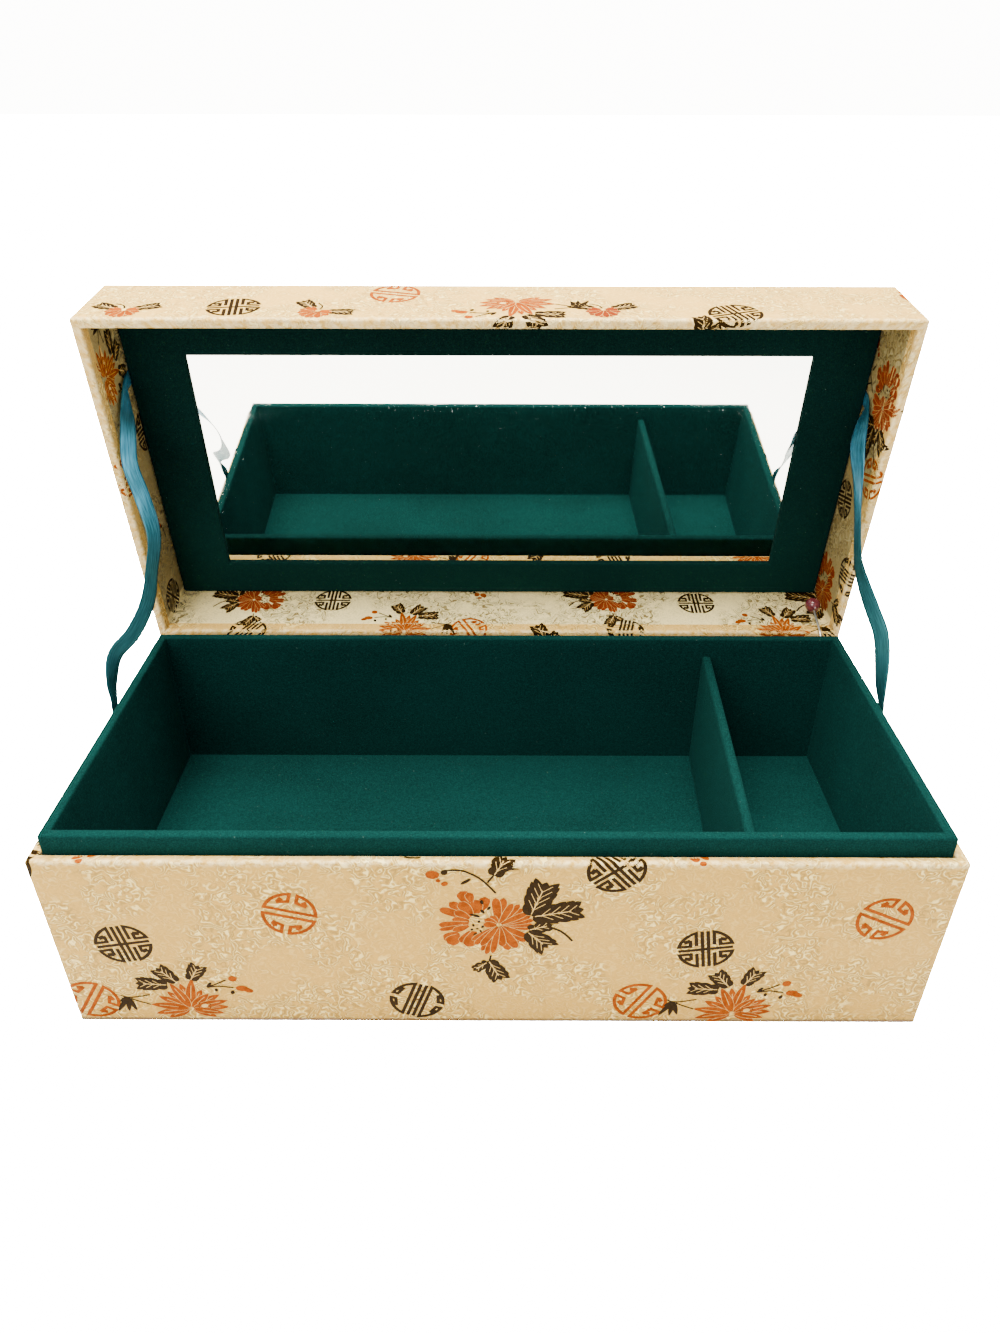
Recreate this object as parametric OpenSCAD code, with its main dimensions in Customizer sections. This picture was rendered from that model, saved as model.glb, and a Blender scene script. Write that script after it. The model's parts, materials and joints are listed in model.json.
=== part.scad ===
// Musical jewellery box covered in brocade, with a felt lined tray, a mirror in the lid
// and a slim wind up musical movement under the tray.
// The origin is the middle of the base's footprint, on the table. The front faces -Y.

/* [Base] */
// Outside width of the box
box_w = 300; // [260:1:340]
// Outside depth of the box, hinge to front
box_d = 139.5; // [130:0.5:160]
// Height of the hinge line above the table
base_h = 77.7; // [70:0.1:95]
// Thickness of the wall boards
board_t = 2.8; // [2.4:0.1:3.2]
// Thickness of the brocade and of its glue
cloth_t = 0.4; // [0.3:0.05:0.5]
// Radius of the covered edges
edge_r = 1; // [0.8:0.1:1.2]
// Depth that the brocade turns in over a rim
turn_in = 6; // [4:0.5:9]
// Gap between the rims when the lid is shut
rim_gap = 0.3; // [0.2:0.05:0.5]
// Height of the underside above the table
under_gap = 5; // [4.8:0.1:6]
// Thickness of the bottom board
bottom_t = 2.2; // [1.8:0.1:2.6]
// Thickness of the paper under the bottom board
paper_t = 0.4; // [0.3:0.05:0.5]

/* [Tray] */
// Height of the tray's neck above the hinge line
neck_h = 7; // [5:0.1:9]
// Gap between the movement and the tray over it
tray_over = 0.4; // [0.4:0.05:1]
// Thickness of a felt covered tray wall
tray_wall = 3.5; // [3:0.1:4]
// Thickness of the felt covered tray floor
floor_t = 2.4; // [2:0.1:2.8]
// Gap between the tray and each side wall
side_gap = 0.6; // [0.5:0.05:0.8]
// Gap between the tray and the front wall
front_gap = 0.4; // [0.3:0.05:0.6]
// Gap behind the tray, where the stop wire runs
rear_gap = 5.3; // [5.3:0.1:6]
// Radius of the tray's upper edges
tray_edge_r = 0.8; // [0.5:0.1:1]
// Thickness of the divider
divider_t = 3.6; // [3:0.1:4.5]
// Depth of the divider's top below the tray rim
divider_drop = 8.6; // [4:0.1:12]
// Place of the divider from the middle of the box, as a share of the tray's width
divider_share = 0.2967; // [0.1:0.01:0.38]
// Slant of the divider in degrees
divider_slant = 3; // [0:0.5:4]
// Width of the bearers under the tray
bearer_w = 7; // [5:0.5:10]

/* [Lid] */
// Height of the shut lid
lid_h = 37.6; // [37:0.1:44]
// Angle that the lid stands open
lid_open = 83; // [0:1:89]
// Thickness of the felt covered mat
mat_t = 1.8; // [1.4:0.1:2.2]
// Gap round the mat
mat_gap = 0.8; // [0.6:0.05:1]
// Distance of the mat's window from the box's sides
window_from_side = 27.5; // [16:0.5:50]
// Distance of the window from the box's front
window_from_front = 24.2; // [16:0.1:35]
// Distance of the window from the hinge line
window_from_hinge = 19.7; // [17:0.1:28]
// Thickness of the mirror glass
glass_t = 1.8; // [1.5:0.1:2]
// Width of glass behind the mat's edge
glass_lap = 8; // [5:0.5:10]
// Thickness of the card behind the mirror
backing_t = 1.4; // [1:0.1:1.6]

/* [Cloth hinge] */
// Thickness of the hinge cloth
hinge_cloth_t = 0.3; // [0.2:0.05:0.4]
// Height of each leaf of the hinge cloth
leaf_h = 14; // [8:0.5:20]

/* [Ribbons] */
// Width of a stay ribbon
ribbon_w = 6; // [5:0.1:7]
// Thickness of a stay ribbon
ribbon_t = 0.3; // [0.25:0.05:0.35]
// Place of the left ribbon's foot, behind the middle of the box
left_foot_y = 6.5; // [0:0.5:12]
// Place of the right ribbon's foot, behind the middle of the box
right_foot_y = 8; // [0:0.5:12]
// Distance of the left ribbon's head from the hinge line
left_head_d = 106; // [96:0.5:112]
// Distance of the right ribbon's head from the hinge line
right_head_d = 98; // [92:0.5:112]
// Depth of the ribbon's foot below the hinge line
foot_depth = 7; // [5:0.5:12]
// Depth of the ribbon's head behind the face of the mat
head_depth = 3; // [2:0.1:3]

/* [Stop lever] */
// Height of the lever's pin above the hinge line
pivot_rise = 2.3; // [2.2:0.05:2.6]
// Radius of the lever's pin
pivot_r = 0.8; // [0.6:0.05:0.9]
// Radius of the lever's eye
eye_r = 1.45; // [1.35:0.05:1.5]
// Radius of the stop wires
wire_r = 0.5; // [0.4:0.05:0.5]
// Length of the lever's first leg
leg_l = 5.1; // [4.9:0.1:5.3]
// Slope of the lever's first leg in degrees
leg_slope = 38; // [34:1:40]
// Distance from the pin to the bead
bead_reach = 20.2; // [19:0.1:21]
// Slope of the line from the pin to the bead in degrees
bead_slope = 23.6; // [22:0.1:26]
// Radius of the bead
bead_r = 3.2; // [2.8:0.1:3.3]

/* [Musical movement] */
// Thickness of the bedplate
bedplate_t = 1.5; // [1.2:0.1:1.6]
// Distance of the movement's centre from the box's right side
movement_from_side = 31; // [31:0.1:34]
// Distance of the movement's centre from the box's back
movement_from_back = 27.75; // [27.75:0.05:30]
// Radius of the cylinder
cylinder_r = 4.2; // [3.9:0.05:4.2]
// Length of the cylinder
cylinder_l = 21.6; // [20:0.1:21.8]
// Height of a cylinder pin
pin_h = 0.35; // [0.25:0.05:0.4]
// Radius of a cylinder pin
pin_r = 0.15; // [0.1:0.01:0.2]
// Number of teeth in the comb
tines = 18; // [12:1:18]
// Teeth of the great wheel
crown_teeth = 44; // [44]
// Teeth of the cylinder's pinion
pinion_teeth = 11; // [11]
// Module of the great wheel and of the pinion it drives
crown_module = 0.5; // [0.5]
// Teeth of the cylinder's wheel
wheel_teeth = 24; // [24]
// Teeth of the governor's pinion
governor_pinion_teeth = 10; // [10]
// Module of the cylinder's wheel and of the pinion it drives
wheel_module = 0.3; // [0.3]
// Teeth of the governor's worm wheel
worm_wheel_teeth = 20; // [16:2:24]
// Radius of the worm wheel
worm_wheel_r = 3.2; // [3:0.05:3.2]
// Radius of the spring barrel
barrel_r = 9.4; // [8.6:0.1:9.6]
// Radius of the winding arbor
arbor_r = 1.2; // [1:0.05:1.4]
// Turns of the mainspring
spring_turns = 7; // [5:1:8]
// Thickness of the mainspring
spring_t = 0.25; // [0.2:0.01:0.3]

/* [Winding key] */
// Length of the key's bar
key_l = 22; // [18:0.5:26]
// Thickness of the key's bar
key_t = 1.8; // [1.4:0.1:2.4]
// Gap between the key and the table
key_foot_gap = 0.8; // [0.5:0.1:1]

/* [Hidden] */

$fn = 48;

// overrun of a cut past the face it opens
cut = 0.5;
// running clearance round a small shaft
run_gap = 0.05;
// radius of the roll of cloth on the hinge line, just clear of the covered edges
roll_gap = 0.06;
roll_r = norm([edge_r, edge_r + rim_gap / 2]) - edge_r - roll_gap;

// colours
c_brocade = "BurlyWood";
c_lining = "Wheat";
c_board = "Gray";
c_paper = "Ivory";
c_felt = "DarkSlateGray";
c_ribbon = "CadetBlue";
c_brass = "Goldenrod";
c_steel = "Silver";
c_bead = "Brown";
c_glass = "LightBlue";

// walls and rims
wall_t = board_t + 2 * cloth_t;
board_out = cloth_t;
board_in = cloth_t + board_t;
base_top = base_h - rim_gap / 2;
base_board_top = base_top - cloth_t;
in_w = box_w - 2 * wall_t;
in_d = box_d - 2 * wall_t;
bottom_z = under_gap + paper_t;
bed_z = bottom_z + bottom_t;

// musical movement, with its own frame: u along X, v along Y, w up from the bedplate's top
movement_x = box_w / 2 - movement_from_side;
movement_y = box_d / 2 - movement_from_back;
bed_low = [-31, -18];
bed_high = [26, 21];
fly_at = [21, 15];
worm_r = 1.2;
worm_core_r = 0.8;
worm_gap = 0.1;
axis_w = 5;
gov_v = fly_at[1] - worm_wheel_r - worm_r - worm_gap;
cyl_v = gov_v - (wheel_teeth + governor_pinion_teeth) * wheel_module / 2;
cyl_u0 = -4.9;
cyl_u1 = cyl_u0 + cylinder_l;
arbor_small_r = 0.8;
gov_arbor_r = 0.5;
fly_arbor_r = 0.4;
gear_face = 1.4;
wheel_face = 1;
part_gap = 0.5;
end_play = 0.15;
wheel_u0 = cyl_u1 + part_gap;
right_plate_u0 = wheel_u0 + wheel_face + part_gap;
bearing_t = 0.8;
left_plate_t = 0.6;
left_plate_u1 = cyl_u0 - part_gap;
pinion_mid = left_plate_u1 - left_plate_t - gear_face / 2 - end_play;
crown_pitch_r = crown_teeth * crown_module / 2;
pinion_pitch_r = pinion_teeth * crown_module / 2;
barrel_u = pinion_mid - crown_pitch_r;
crown_r = crown_pitch_r + gear_face / 2;
crown_w = axis_w - pinion_pitch_r;
wheel_gap_w = 0.5;
drum_top = 8.7;
drum_wall = 0.7;
bridge_w0 = drum_top + part_gap;
bridge_w1 = bridge_w0 + bearing_t;
bridge_half = 2.5;
leg_t = 3;
plate_over = 2.4;
plate_top = axis_w + plate_over;
plate_reach = 2.8;
fly_to_plate = 3.4;
governor_plate_u0 = fly_at[0] + fly_to_plate;
governor_top = 9.4;
arm_half = 1;
disc_r = 2.2;
disc_t = 0.4;
disc_top = governor_top - bearing_t - end_play;
vane_reach = 3;
vane_t = 0.5;
vane_w = [0.5, 1.5];
worm_w = [2.4, 7.4];
worm_ridges = 8;
foot_gap = 0.3;
foot_tip_y = movement_y + fly_at[1] + arm_half + foot_gap;
foot_pocket = 1;
foot_play = 0.2;
key_x = movement_x + barrel_u;
key_y = movement_y + cyl_v;
key_hub_r = 2.4;
key_hole_play = 1;
key_hole_r = key_hub_r + key_hole_play;
key_clear = 0.4;
key_web = 1.2;
screw_r = 1;
screw_head_r = 2;
screw_head_t = 0.9;
screw_inset = 3;
screw_places = [[bed_low[0] + screw_inset, bed_high[1] - screw_inset],
    [bed_low[0] + screw_inset, bed_low[1] + screw_inset],
    [bed_high[0] - screw_inset, bed_low[1] + screw_inset]];

// tray
tray_w = in_w - 2 * side_gap;
tray_d = in_d - front_gap - rear_gap;
tray_front = front_gap - in_d / 2;
tray_rear = tray_front + tray_d;
tray_top = base_h + neck_h;
tray_foot = bed_z + bedplate_t + bridge_w1 + tray_over;
floor_top = tray_foot + floor_t;

// lid, measured from the hinge line: d runs to the front, h runs up to the lid's top
lid_rim = rim_gap / 2;
top_in = lid_h - cloth_t - board_t;
back_h = top_in - backing_t;
glass_h = back_h - glass_t;
mat_h = glass_h - mat_t;
mat_w = in_w - 2 * mat_gap;
mat_d = in_d - 2 * mat_gap;
window_w = box_w - 2 * window_from_side;
window_d = box_d - window_from_hinge - window_from_front;
glass_w = window_w + 2 * glass_lap;
glass_d = window_d + 2 * glass_lap;
window_mid = window_from_hinge + window_d / 2;

// puts a shut lid's piece, drawn with its hinge line on the X axis, in its open place
module on_lid() {
    translate([0, box_d / 2, base_h]) rotate([-lid_open, 0, 0]) children();
}

// a box between two corners
module slab(low, high) {
    translate(low) cube(high - low);
}

// a turned piece or a pin along X between two stations
module along_x(x0, x1, r) {
    translate([x0, 0, 0]) rotate([0, 90, 0]) cylinder(r = r, h = x1 - x0);
}

// a rectangle from z0 to z1 about the middle, with its lower and upper corners rounded
module rounded_section(span, z0, z1, r_low, r_top) {
    translate([-span / 2, z0 + r_low]) square([span, z1 - z0 - r_low - r_top]);
    for (side = [-1, 1]) {
        if (r_low > 0) translate([side * (span / 2 - r_low), z0 + r_low]) circle(r = r_low);
        if (r_top > 0) translate([side * (span / 2 - r_top), z1 - r_top]) circle(r = r_top);
    }
    if (r_low > 0) translate([r_low - span / 2, z0]) square([span - 2 * r_low, 2 * r_low]);
    if (r_top > 0) translate([r_top - span / 2, z1 - 2 * r_top]) square([span - 2 * r_top, 2 * r_top]);
}

// a block w by d with rounded edges: two crossed prisms meet in mitred corners
module rounded_block(w, d, z0, z1, r_low, r_top) {
    intersection() {
        translate([-w / 2 - cut, 0, 0]) rotate([90, 0, 90]) linear_extrude(height = w + 2 * cut)
            rounded_section(d, z0, z1, r_low, r_top);
        translate([0, d / 2 + cut, 0]) rotate([90, 0, 0]) linear_extrude(height = d + 2 * cut)
            rounded_section(w, z0, z1, r_low, r_top);
    }
}

// wall section with its inner corners rounded: u inwards from the outer face, which it oversteps, z up
module inner_section(thick, z0, z1, r_low, r_top) {
    translate([-cut, z0 + r_low]) square([thick + cut, z1 - z0 - r_low - r_top]);
    translate([-cut, z0]) square([thick + cut - max(r_low, r_top), z1 - z0]);
    if (r_low > 0) translate([thick - r_low, z0 + r_low]) circle(r = r_low);
    if (r_top > 0) translate([thick - r_top, z1 - r_top]) circle(r = r_top);
}

// four runs of a wall section along the sides of a rectangle, crossing at the corners
module crossed_runs(w, d) {
    for (turn = [0, 180]) rotate([0, 0, turn]) translate([-w / 2 - cut, -d / 2, 0]) rotate([90, 0, 90])
        linear_extrude(height = w + 2 * cut) children();
    for (turn = [90, 270]) rotate([0, 0, turn]) translate([-d / 2 - cut, -w / 2, 0]) rotate([90, 0, 90])
        linear_extrude(height = d + 2 * cut) children();
}

// walls round a rectangle, with rounded upper edges inside and out
module rounded_walls(w, d, thick, z0, z1, r) {
    intersection() {
        rounded_block(w, d, z0, z1, 0, r);
        crossed_runs(w, d) inner_section(thick, z0, z1, 0, r);
    }
}

// the space inside an inset from the box's outer faces
module inset_slab(inset, z0, z1) {
    slab([inset - box_w / 2, inset - box_d / 2, z0], [box_w / 2 - inset, box_d / 2 - inset, z1]);
}

// a board of a wall: side 0 front, 1 back, 2 left, 3 right; end boards stand between the long ones
module wall_board(side, z0, z1) {
    x_out = box_w / 2 - board_out;
    y_out = box_d / 2 - board_out;
    x_in = box_w / 2 - board_in;
    y_in = box_d / 2 - board_in;
    if (side == 0) slab([-x_out, -y_out, z0], [x_out, -y_in, z1]);
    if (side == 1) slab([-x_out, y_in, z0], [x_out, y_out, z1]);
    if (side == 2) slab([-x_out, -y_in, z0], [-x_in, y_in, z1]);
    if (side == 3) slab([x_in, -y_in, z0], [x_out, y_in, z1]);
}

// Base
module front_board() color(c_board) wall_board(0, 0, base_board_top);
module back_board() color(c_board) wall_board(1, 0, base_board_top);
module left_board() color(c_board) wall_board(2, 0, base_board_top);
module right_board() color(c_board) wall_board(3, 0, base_board_top);

module bottom_plan() square([box_w - 2 * board_in, box_d - 2 * board_in], center = true);

module bottom_board() color(c_board)
    difference() {
        translate([0, 0, bottom_z]) linear_extrude(height = bottom_t) bottom_plan();
        translate([key_x, key_y, bottom_z - cut]) cylinder(r = key_hole_r, h = bottom_t + 2 * cut);
        screw_holes(bottom_z - cut, bed_z + cut, screw_r + run_gap);
    }

module underside_paper() color(c_paper)
    difference() {
        translate([0, 0, under_gap]) linear_extrude(height = paper_t) bottom_plan();
        translate([key_x, key_y, under_gap - cut]) cylinder(r = key_hole_r, h = paper_t + 2 * cut);
        screw_holes(under_gap - cut, bottom_z + cut, screw_head_r + 4 * run_gap);
    }

// brocade over the outside, over the rim and a little way down inside, trimmed just above the table
hem_gap = 0.2;
module base_brocade() color(c_brocade)
    difference() {
        rounded_walls(box_w, box_d, wall_t, hem_gap, base_top, edge_r);
        inset_slab(board_out, -cut, base_top - turn_in);
        difference() {
            inset_slab(board_out, 0, base_board_top);
            inset_slab(board_in, -cut, base_top);
        }
    }

// strip of cloth on the back, ending in a roll on the hinge line; at the sides it stops its own height short
module hinge_cloth_base() color(c_brocade) translate([0, box_d / 2, base_h]) {
    slab([leaf_h - box_w / 2, 0, -leaf_h], [box_w / 2 - leaf_h, hinge_cloth_t, 0]);
    along_x(leaf_h - box_w / 2, box_w / 2 - leaf_h, roll_r);
}

// Tray
module tray_walls() color(c_felt)
    translate([0, (tray_front + tray_rear) / 2, 0])
        rounded_walls(tray_w, tray_d, tray_wall, tray_foot, tray_top, tray_edge_r);

module tray_floor() color(c_felt)
    slab([tray_wall - tray_w / 2, tray_front + tray_wall, tray_foot],
        [tray_w / 2 - tray_wall, tray_rear - tray_wall, floor_top]);

// the divider leans a few degrees in plan and reaches both long walls
module tray_divider() color(c_felt) {
    y0 = tray_front + tray_wall;
    y1 = tray_rear - tray_wall;
    half = divider_t / cos(divider_slant) / 2;
    x_mid = divider_share * tray_w;
    x0 = x_mid - tan(divider_slant) * (y1 - y0) / 2;
    x1 = x_mid + tan(divider_slant) * (y1 - y0) / 2;
    translate([0, 0, floor_top]) linear_extrude(height = tray_top - divider_drop - floor_top)
        polygon([[x0 - half, y0], [x0 + half, y0], [x1 + half, y1], [x1 - half, y1]]);
}

// strips that carry the tray and leave a bay for the movement
module tray_bearers() color(c_board) {
    x_edge = tray_w / 2;
    bay_x = movement_x + bed_low[0] - bearer_w;
    bay_y = movement_y + bed_low[1] - bearer_w;
    slab([-x_edge, tray_front, bed_z], [x_edge, tray_front + bearer_w, tray_foot]);
    slab([-x_edge, tray_front + bearer_w, bed_z], [bearer_w - x_edge, tray_rear, tray_foot]);
    slab([bearer_w - x_edge, tray_rear - bearer_w, bed_z], [bay_x, tray_rear, tray_foot]);
    slab([x_edge - bearer_w, tray_front + bearer_w, bed_z], [x_edge, bay_y, tray_foot]);
    slab([-bearer_w / 2, tray_front + bearer_w, bed_z], [bearer_w / 2, tray_rear - bearer_w, tray_foot]);
}

// Ribbons
// Each station of a route: inward from the wall in ribbon widths, then the shares of the way back
// and up from foot to head, or of the foot's depth, then the turn of the ribbon's width out of
// the wall's plane in degrees.
left_route_share = [
    [0, 0, -1, 0], [0, 0, 0.05, 0], [0, 0.015, 0.085, 4], [-0.1, 0.05, 0.14, 20], [0.1, 0.12, 0.22, 45],
    [1.1, 0.2, 0.275, 50], [1.85, 0.3, 0.355, 45], [2.1, 0.392, 0.451, 30], [2.2, 0.49, 0.555, 40],
    [1.5, 0.572, 0.675, 70], [0.8, 0.643, 0.778, 80], [0.6, 0.756, 0.889, 50], [0.15, 0.91, 0.985, 0]];
right_route_share = [
    [0, 0, -1, 0], [0, 0, 0.05, 0], [0, 0.015, 0.085, 4], [0, 0.06, 0.14, 25], [-0.05, 0.12, 0.22, 45],
    [0.05, 0.184, 0.3, 50], [0.45, 0.26, 0.366, 45], [0.9, 0.348, 0.439, 30], [1.2, 0.442, 0.523, 10],
    [1.1, 0.58, 0.66, 5], [0.95, 0.694, 0.766, 20], [0.85, 0.8, 0.86, 50], [0.5, 0.88, 0.94, 30],
    [0.1, 0.95, 0.99, 0]];
ribbon_steps = 3;

function lid_place(d, h) = [
    box_d / 2 - cos(lid_open) * d + sin(lid_open) * h,
    base_h + sin(lid_open) * d + cos(lid_open) * h];

// centre line through the stations as a smooth curve
function curve_point(p, i, t) = let (
        a = p[max(i - 1, 0)], b = p[i], c = p[i + 1], e = p[min(i + 2, len(p) - 1)])
    0.5 * (2 * b + (c - a) * t + (2 * a - 5 * b + 4 * c - e) * pow(t, 2)
        + (3 * b - a - 3 * c + e) * pow(t, 3));

module ribbon(side, route, foot_y, head_d) {
    head = lid_place(head_d, mat_h);
    wall_x = in_w / 2 - side_gap / 2;
    tuck = lid_place(head_d, mat_h + head_depth) - head;
    stations = concat([for (s = concat(route, [[0, 1, 1, 0]]))
        [wall_x - s[0] * ribbon_w, foot_y + s[1] * (head[0] - foot_y),
            base_h + s[2] * (s[2] < 0 ? foot_depth : head[1] - base_h), s[3]]],
        [[wall_x, head[0] + tuck[0], head[1] + tuck[1], 0]]);
    line = [for (i = [0 : len(stations) - 2], k = [0 : ribbon_steps - 1])
            curve_point(stations, i, k / ribbon_steps), stations[len(stations) - 1]];
    last = len(line) - 1;
    rings = [for (i = [0 : last]) let (
            p = [line[i][0], line[i][1], line[i][2]],
            q0 = line[max(i - 1, 0)], q1 = line[min(i + 1, last)],
            run = [q1[0] - q0[0], q1[1] - q0[1], q1[2] - q0[2]],
            along = run / norm(run),
            flat = cross(along, [1, 0, 0]),
            back = -flat / norm(flat),
            across = cross(along, back),
            wide = cos(line[i][3]) * back + sin(line[i][3]) * across,
            thin = cross(along, wide))
        [for (c = [[-1, -1], [1, -1], [1, 1], [-1, 1]])
            p + c[0] * wide * ribbon_w / 2 + c[1] * thin * ribbon_t / 2]];
    corners = [for (ring = rings, q = ring) [side * q[0], q[1], q[2]]];
    // both broad faces are split along the same diagonal, so they stay apart where the ribbon twists
    walls = [for (i = [0 : last - 1], k = [0 : 3]) let (a = 4 * i + k, b = 4 * i + (k + 1) % 4)
        each k < 2 ? [[a, b, b + 4], [a, b + 4, a + 4]] : [[a, b, a + 4], [b, b + 4, a + 4]]];
    end = 4 * last;
    caps = [[0, 2, 1], [0, 3, 2], [end, end + 1, end + 2], [end, end + 2, end + 3]];
    polyhedron(corners, [for (f = concat(walls, caps)) side > 0 ? [f[0], f[2], f[1]] : f]);
}

module ribbon_left() color(c_ribbon) ribbon(-1, left_route_share, left_foot_y, left_head_d);
module ribbon_right() color(c_ribbon) ribbon(1, right_route_share, right_foot_y, right_head_d);

// Lid
module lid_board(side) color(c_board) on_lid() translate([0, -box_d / 2, 0])
    wall_board(side, lid_rim + cloth_t, top_in);
module lid_front_board() lid_board(0);
module lid_back_board() lid_board(1);
module lid_left_board() lid_board(2);
module lid_right_board() lid_board(3);

module lid_top_board() color(c_board) on_lid()
    slab([board_out - box_w / 2, board_out - box_d, top_in],
        [box_w / 2 - board_out, -board_out, top_in + board_t]);

// brocade over the lid's top and walls, round the rim and a little way up inside
module lid_brocade() color(c_brocade) on_lid() translate([0, -box_d / 2, 0])
    difference() {
        turned = lid_rim + turn_in;
        intersection() {
            rounded_block(box_w, box_d, lid_rim, lid_h, edge_r, edge_r);
            union() {
                crossed_runs(box_w, box_d) inner_section(wall_t, lid_rim, turned + 2 * cut, edge_r, 0);
                inset_slab(-cut, turned + cut, lid_h + cut);
            }
        }
        inset_slab(board_out, turned, lid_h - cloth_t);
        difference() {
            inset_slab(board_out, lid_rim + cloth_t, turned + cut);
            inset_slab(board_in, lid_rim, turned + 2 * cut);
        }
    }

// brocade on the inner faces of the lid's walls, above the turned in rim
module lid_lining() color(c_lining) on_lid() translate([0, -box_d / 2, 0])
    difference() {
        inset_slab(board_in, lid_rim + turn_in, top_in);
        inset_slab(wall_t, lid_rim, top_in + cut);
    }

module hinge_cloth_lid() color(c_brocade) on_lid()
    slab([leaf_h - box_w / 2, 0, roll_r + rim_gap], [box_w / 2 - leaf_h, hinge_cloth_t, leaf_h]);

module mirror_mat() color(c_felt) on_lid()
    difference() {
        slab([-mat_w / 2, -wall_t - mat_gap - mat_d, mat_h], [mat_w / 2, -wall_t - mat_gap, glass_h]);
        translate([-window_w / 2, -window_from_hinge - window_d, mat_h - cut])
            cube([window_w, window_d, mat_t + 2 * cut]);
    }

module mirror_glass() color(c_glass) on_lid()
    slab([-glass_w / 2, -window_mid - glass_d / 2, glass_h], [glass_w / 2, glass_d / 2 - window_mid, back_h]);

module mirror_spacer() color(c_board) on_lid()
    difference() {
        slab([-mat_w / 2, -wall_t - mat_gap - mat_d, glass_h], [mat_w / 2, -wall_t - mat_gap, back_h]);
        slab([-glass_w / 2, -window_mid - glass_d / 2, glass_h - cut],
            [glass_w / 2, glass_d / 2 - window_mid, back_h + cut]);
    }

module mirror_backing() color(c_board) on_lid()
    slab([-mat_w / 2, -wall_t - mat_gap - mat_d, back_h], [mat_w / 2, -wall_t - mat_gap, top_in]);

// Stop lever, behind the tray on the right, over the governor's fly
lever_x = movement_x + fly_at[0];
pivot_y = tray_rear + rear_gap / 2;
pivot_z = base_h + pivot_rise;
plate_t = 0.6;
plate_half = 3.6;
plate_drop = 10;
ear_t = 0.6;
ear_in = 2;
ear_r = 1.7;
pivot_half = 3;
eye_half = 0.8;
leg_end = [leg_l * cos(leg_slope), leg_l * sin(leg_slope)];
bead_at = [bead_reach * cos(bead_slope), bead_reach * sin(bead_slope)];
arm = bead_at - leg_end;
arm_slope = atan2(arm[1], arm[0]);
arm_l = norm(arm);

module at_pivot() translate([lever_x, pivot_y, pivot_z]) children();

// a round wire in the plane across X, from a point, at a slope
module sloped_wire(from, slope, length) {
    translate([0, from[0], from[1]]) rotate([slope - 90, 0, 0]) cylinder(r = wire_r, h = length);
}

module stop_bracket() color(c_steel) at_pivot()
    difference() {
        union() {
            slab([-plate_half, -rear_gap / 2, -plate_drop], [plate_half, plate_t - rear_gap / 2, ear_r]);
            for (side = [-1, 1]) {
                slab([side * (ear_in + ear_t / 2) - ear_t / 2, plate_t - rear_gap / 2, -ear_r],
                    [side * (ear_in + ear_t / 2) + ear_t / 2, 0, ear_r]);
                along_x(side * (ear_in + ear_t / 2) - ear_t / 2,
                    side * (ear_in + ear_t / 2) + ear_t / 2, ear_r);
            }
        }
        along_x(-plate_half, plate_half, pivot_r);
    }

module stop_pivot_pin() color(c_steel) at_pivot() along_x(-pivot_half, pivot_half, pivot_r);

// the eye is drawn off its pin's centre, so that it presses the stop wire down as the lid shuts
eye_offset = 0.35;
eye_lead = 176;
eye_turn = bead_slope + eye_lead;
module stop_lever() color(c_steel) at_pivot() {
    difference() {
        union() {
            translate([0, eye_offset * cos(eye_turn), eye_offset * sin(eye_turn)])
                along_x(-eye_half, eye_half, eye_r);
            sloped_wire([0, 0], leg_slope, leg_l);
            translate([0, leg_end[0], leg_end[1]]) sphere(r = wire_r + run_gap);
            sloped_wire(leg_end, arm_slope, arm_l);
        }
        along_x(-eye_half - cut, eye_half + cut, pivot_r + run_gap);
    }
}

module stop_bead() color(c_bead) at_pivot()
    difference() {
        translate([0, bead_at[0], bead_at[1]]) sphere(r = bead_r);
        sloped_wire(leg_end, arm_slope, arm_l);
    }

// straight wire down the gap behind the tray, with a foot over the governor's brake disc
wire_drop = 1.1;
wire_play = 0.06;
module stop_wire() color(c_steel) {
    top = pivot_z - eye_r + eye_offset * sin(eye_turn) - wire_play;
    low = tray_foot - wire_drop;
    translate([lever_x, pivot_y, low]) cylinder(r = wire_r, h = top - low);
    translate([lever_x, pivot_y, low]) sphere(r = wire_r);
    translate([lever_x, foot_tip_y, low]) rotate([-90, 0, 0]) cylinder(r = wire_r, h = pivot_y - foot_tip_y);
}

// tooth of a gear as shares of its pitch at root, pitch circle and tip, and its height in modules
root_share = 0.62;
pitch_share = 0.42;
tip_share = 0.2;
addendum_share = 0.9;
dedendum_share = 1.2;

module in_movement() translate([movement_x, movement_y, bed_z + bedplate_t]) children();

module screw_holes(z0, z1, r) {
    for (p = screw_places) translate([movement_x + p[0], movement_y + p[1], z0]) cylinder(r = r, h = z1 - z0);
}

// outline of a gear with straight flanked teeth, a tooth centred at angle zero
function gear_outline(teeth, mod) = let (
        pitch_r = teeth * mod / 2,
        rows = [[pitch_r - dedendum_share * mod, -root_share], [pitch_r, -pitch_share],
            [pitch_r + addendum_share * mod, -tip_share], [pitch_r + addendum_share * mod, tip_share],
            [pitch_r, pitch_share], [pitch_r - dedendum_share * mod, root_share]])
    [for (i = [0 : teeth - 1], row = rows) let (a = (i + row[1] / 2) * 360 / teeth)
        [row[0] * cos(a), row[0] * sin(a)]];

// a gear on an axis along X, turned by an angle
module gear_x(u0, face, teeth, mod, turn) {
    translate([u0, 0, 0]) rotate([90, 0, 90]) linear_extrude(height = face) rotate(turn)
        polygon(gear_outline(teeth, mod));
}

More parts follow.
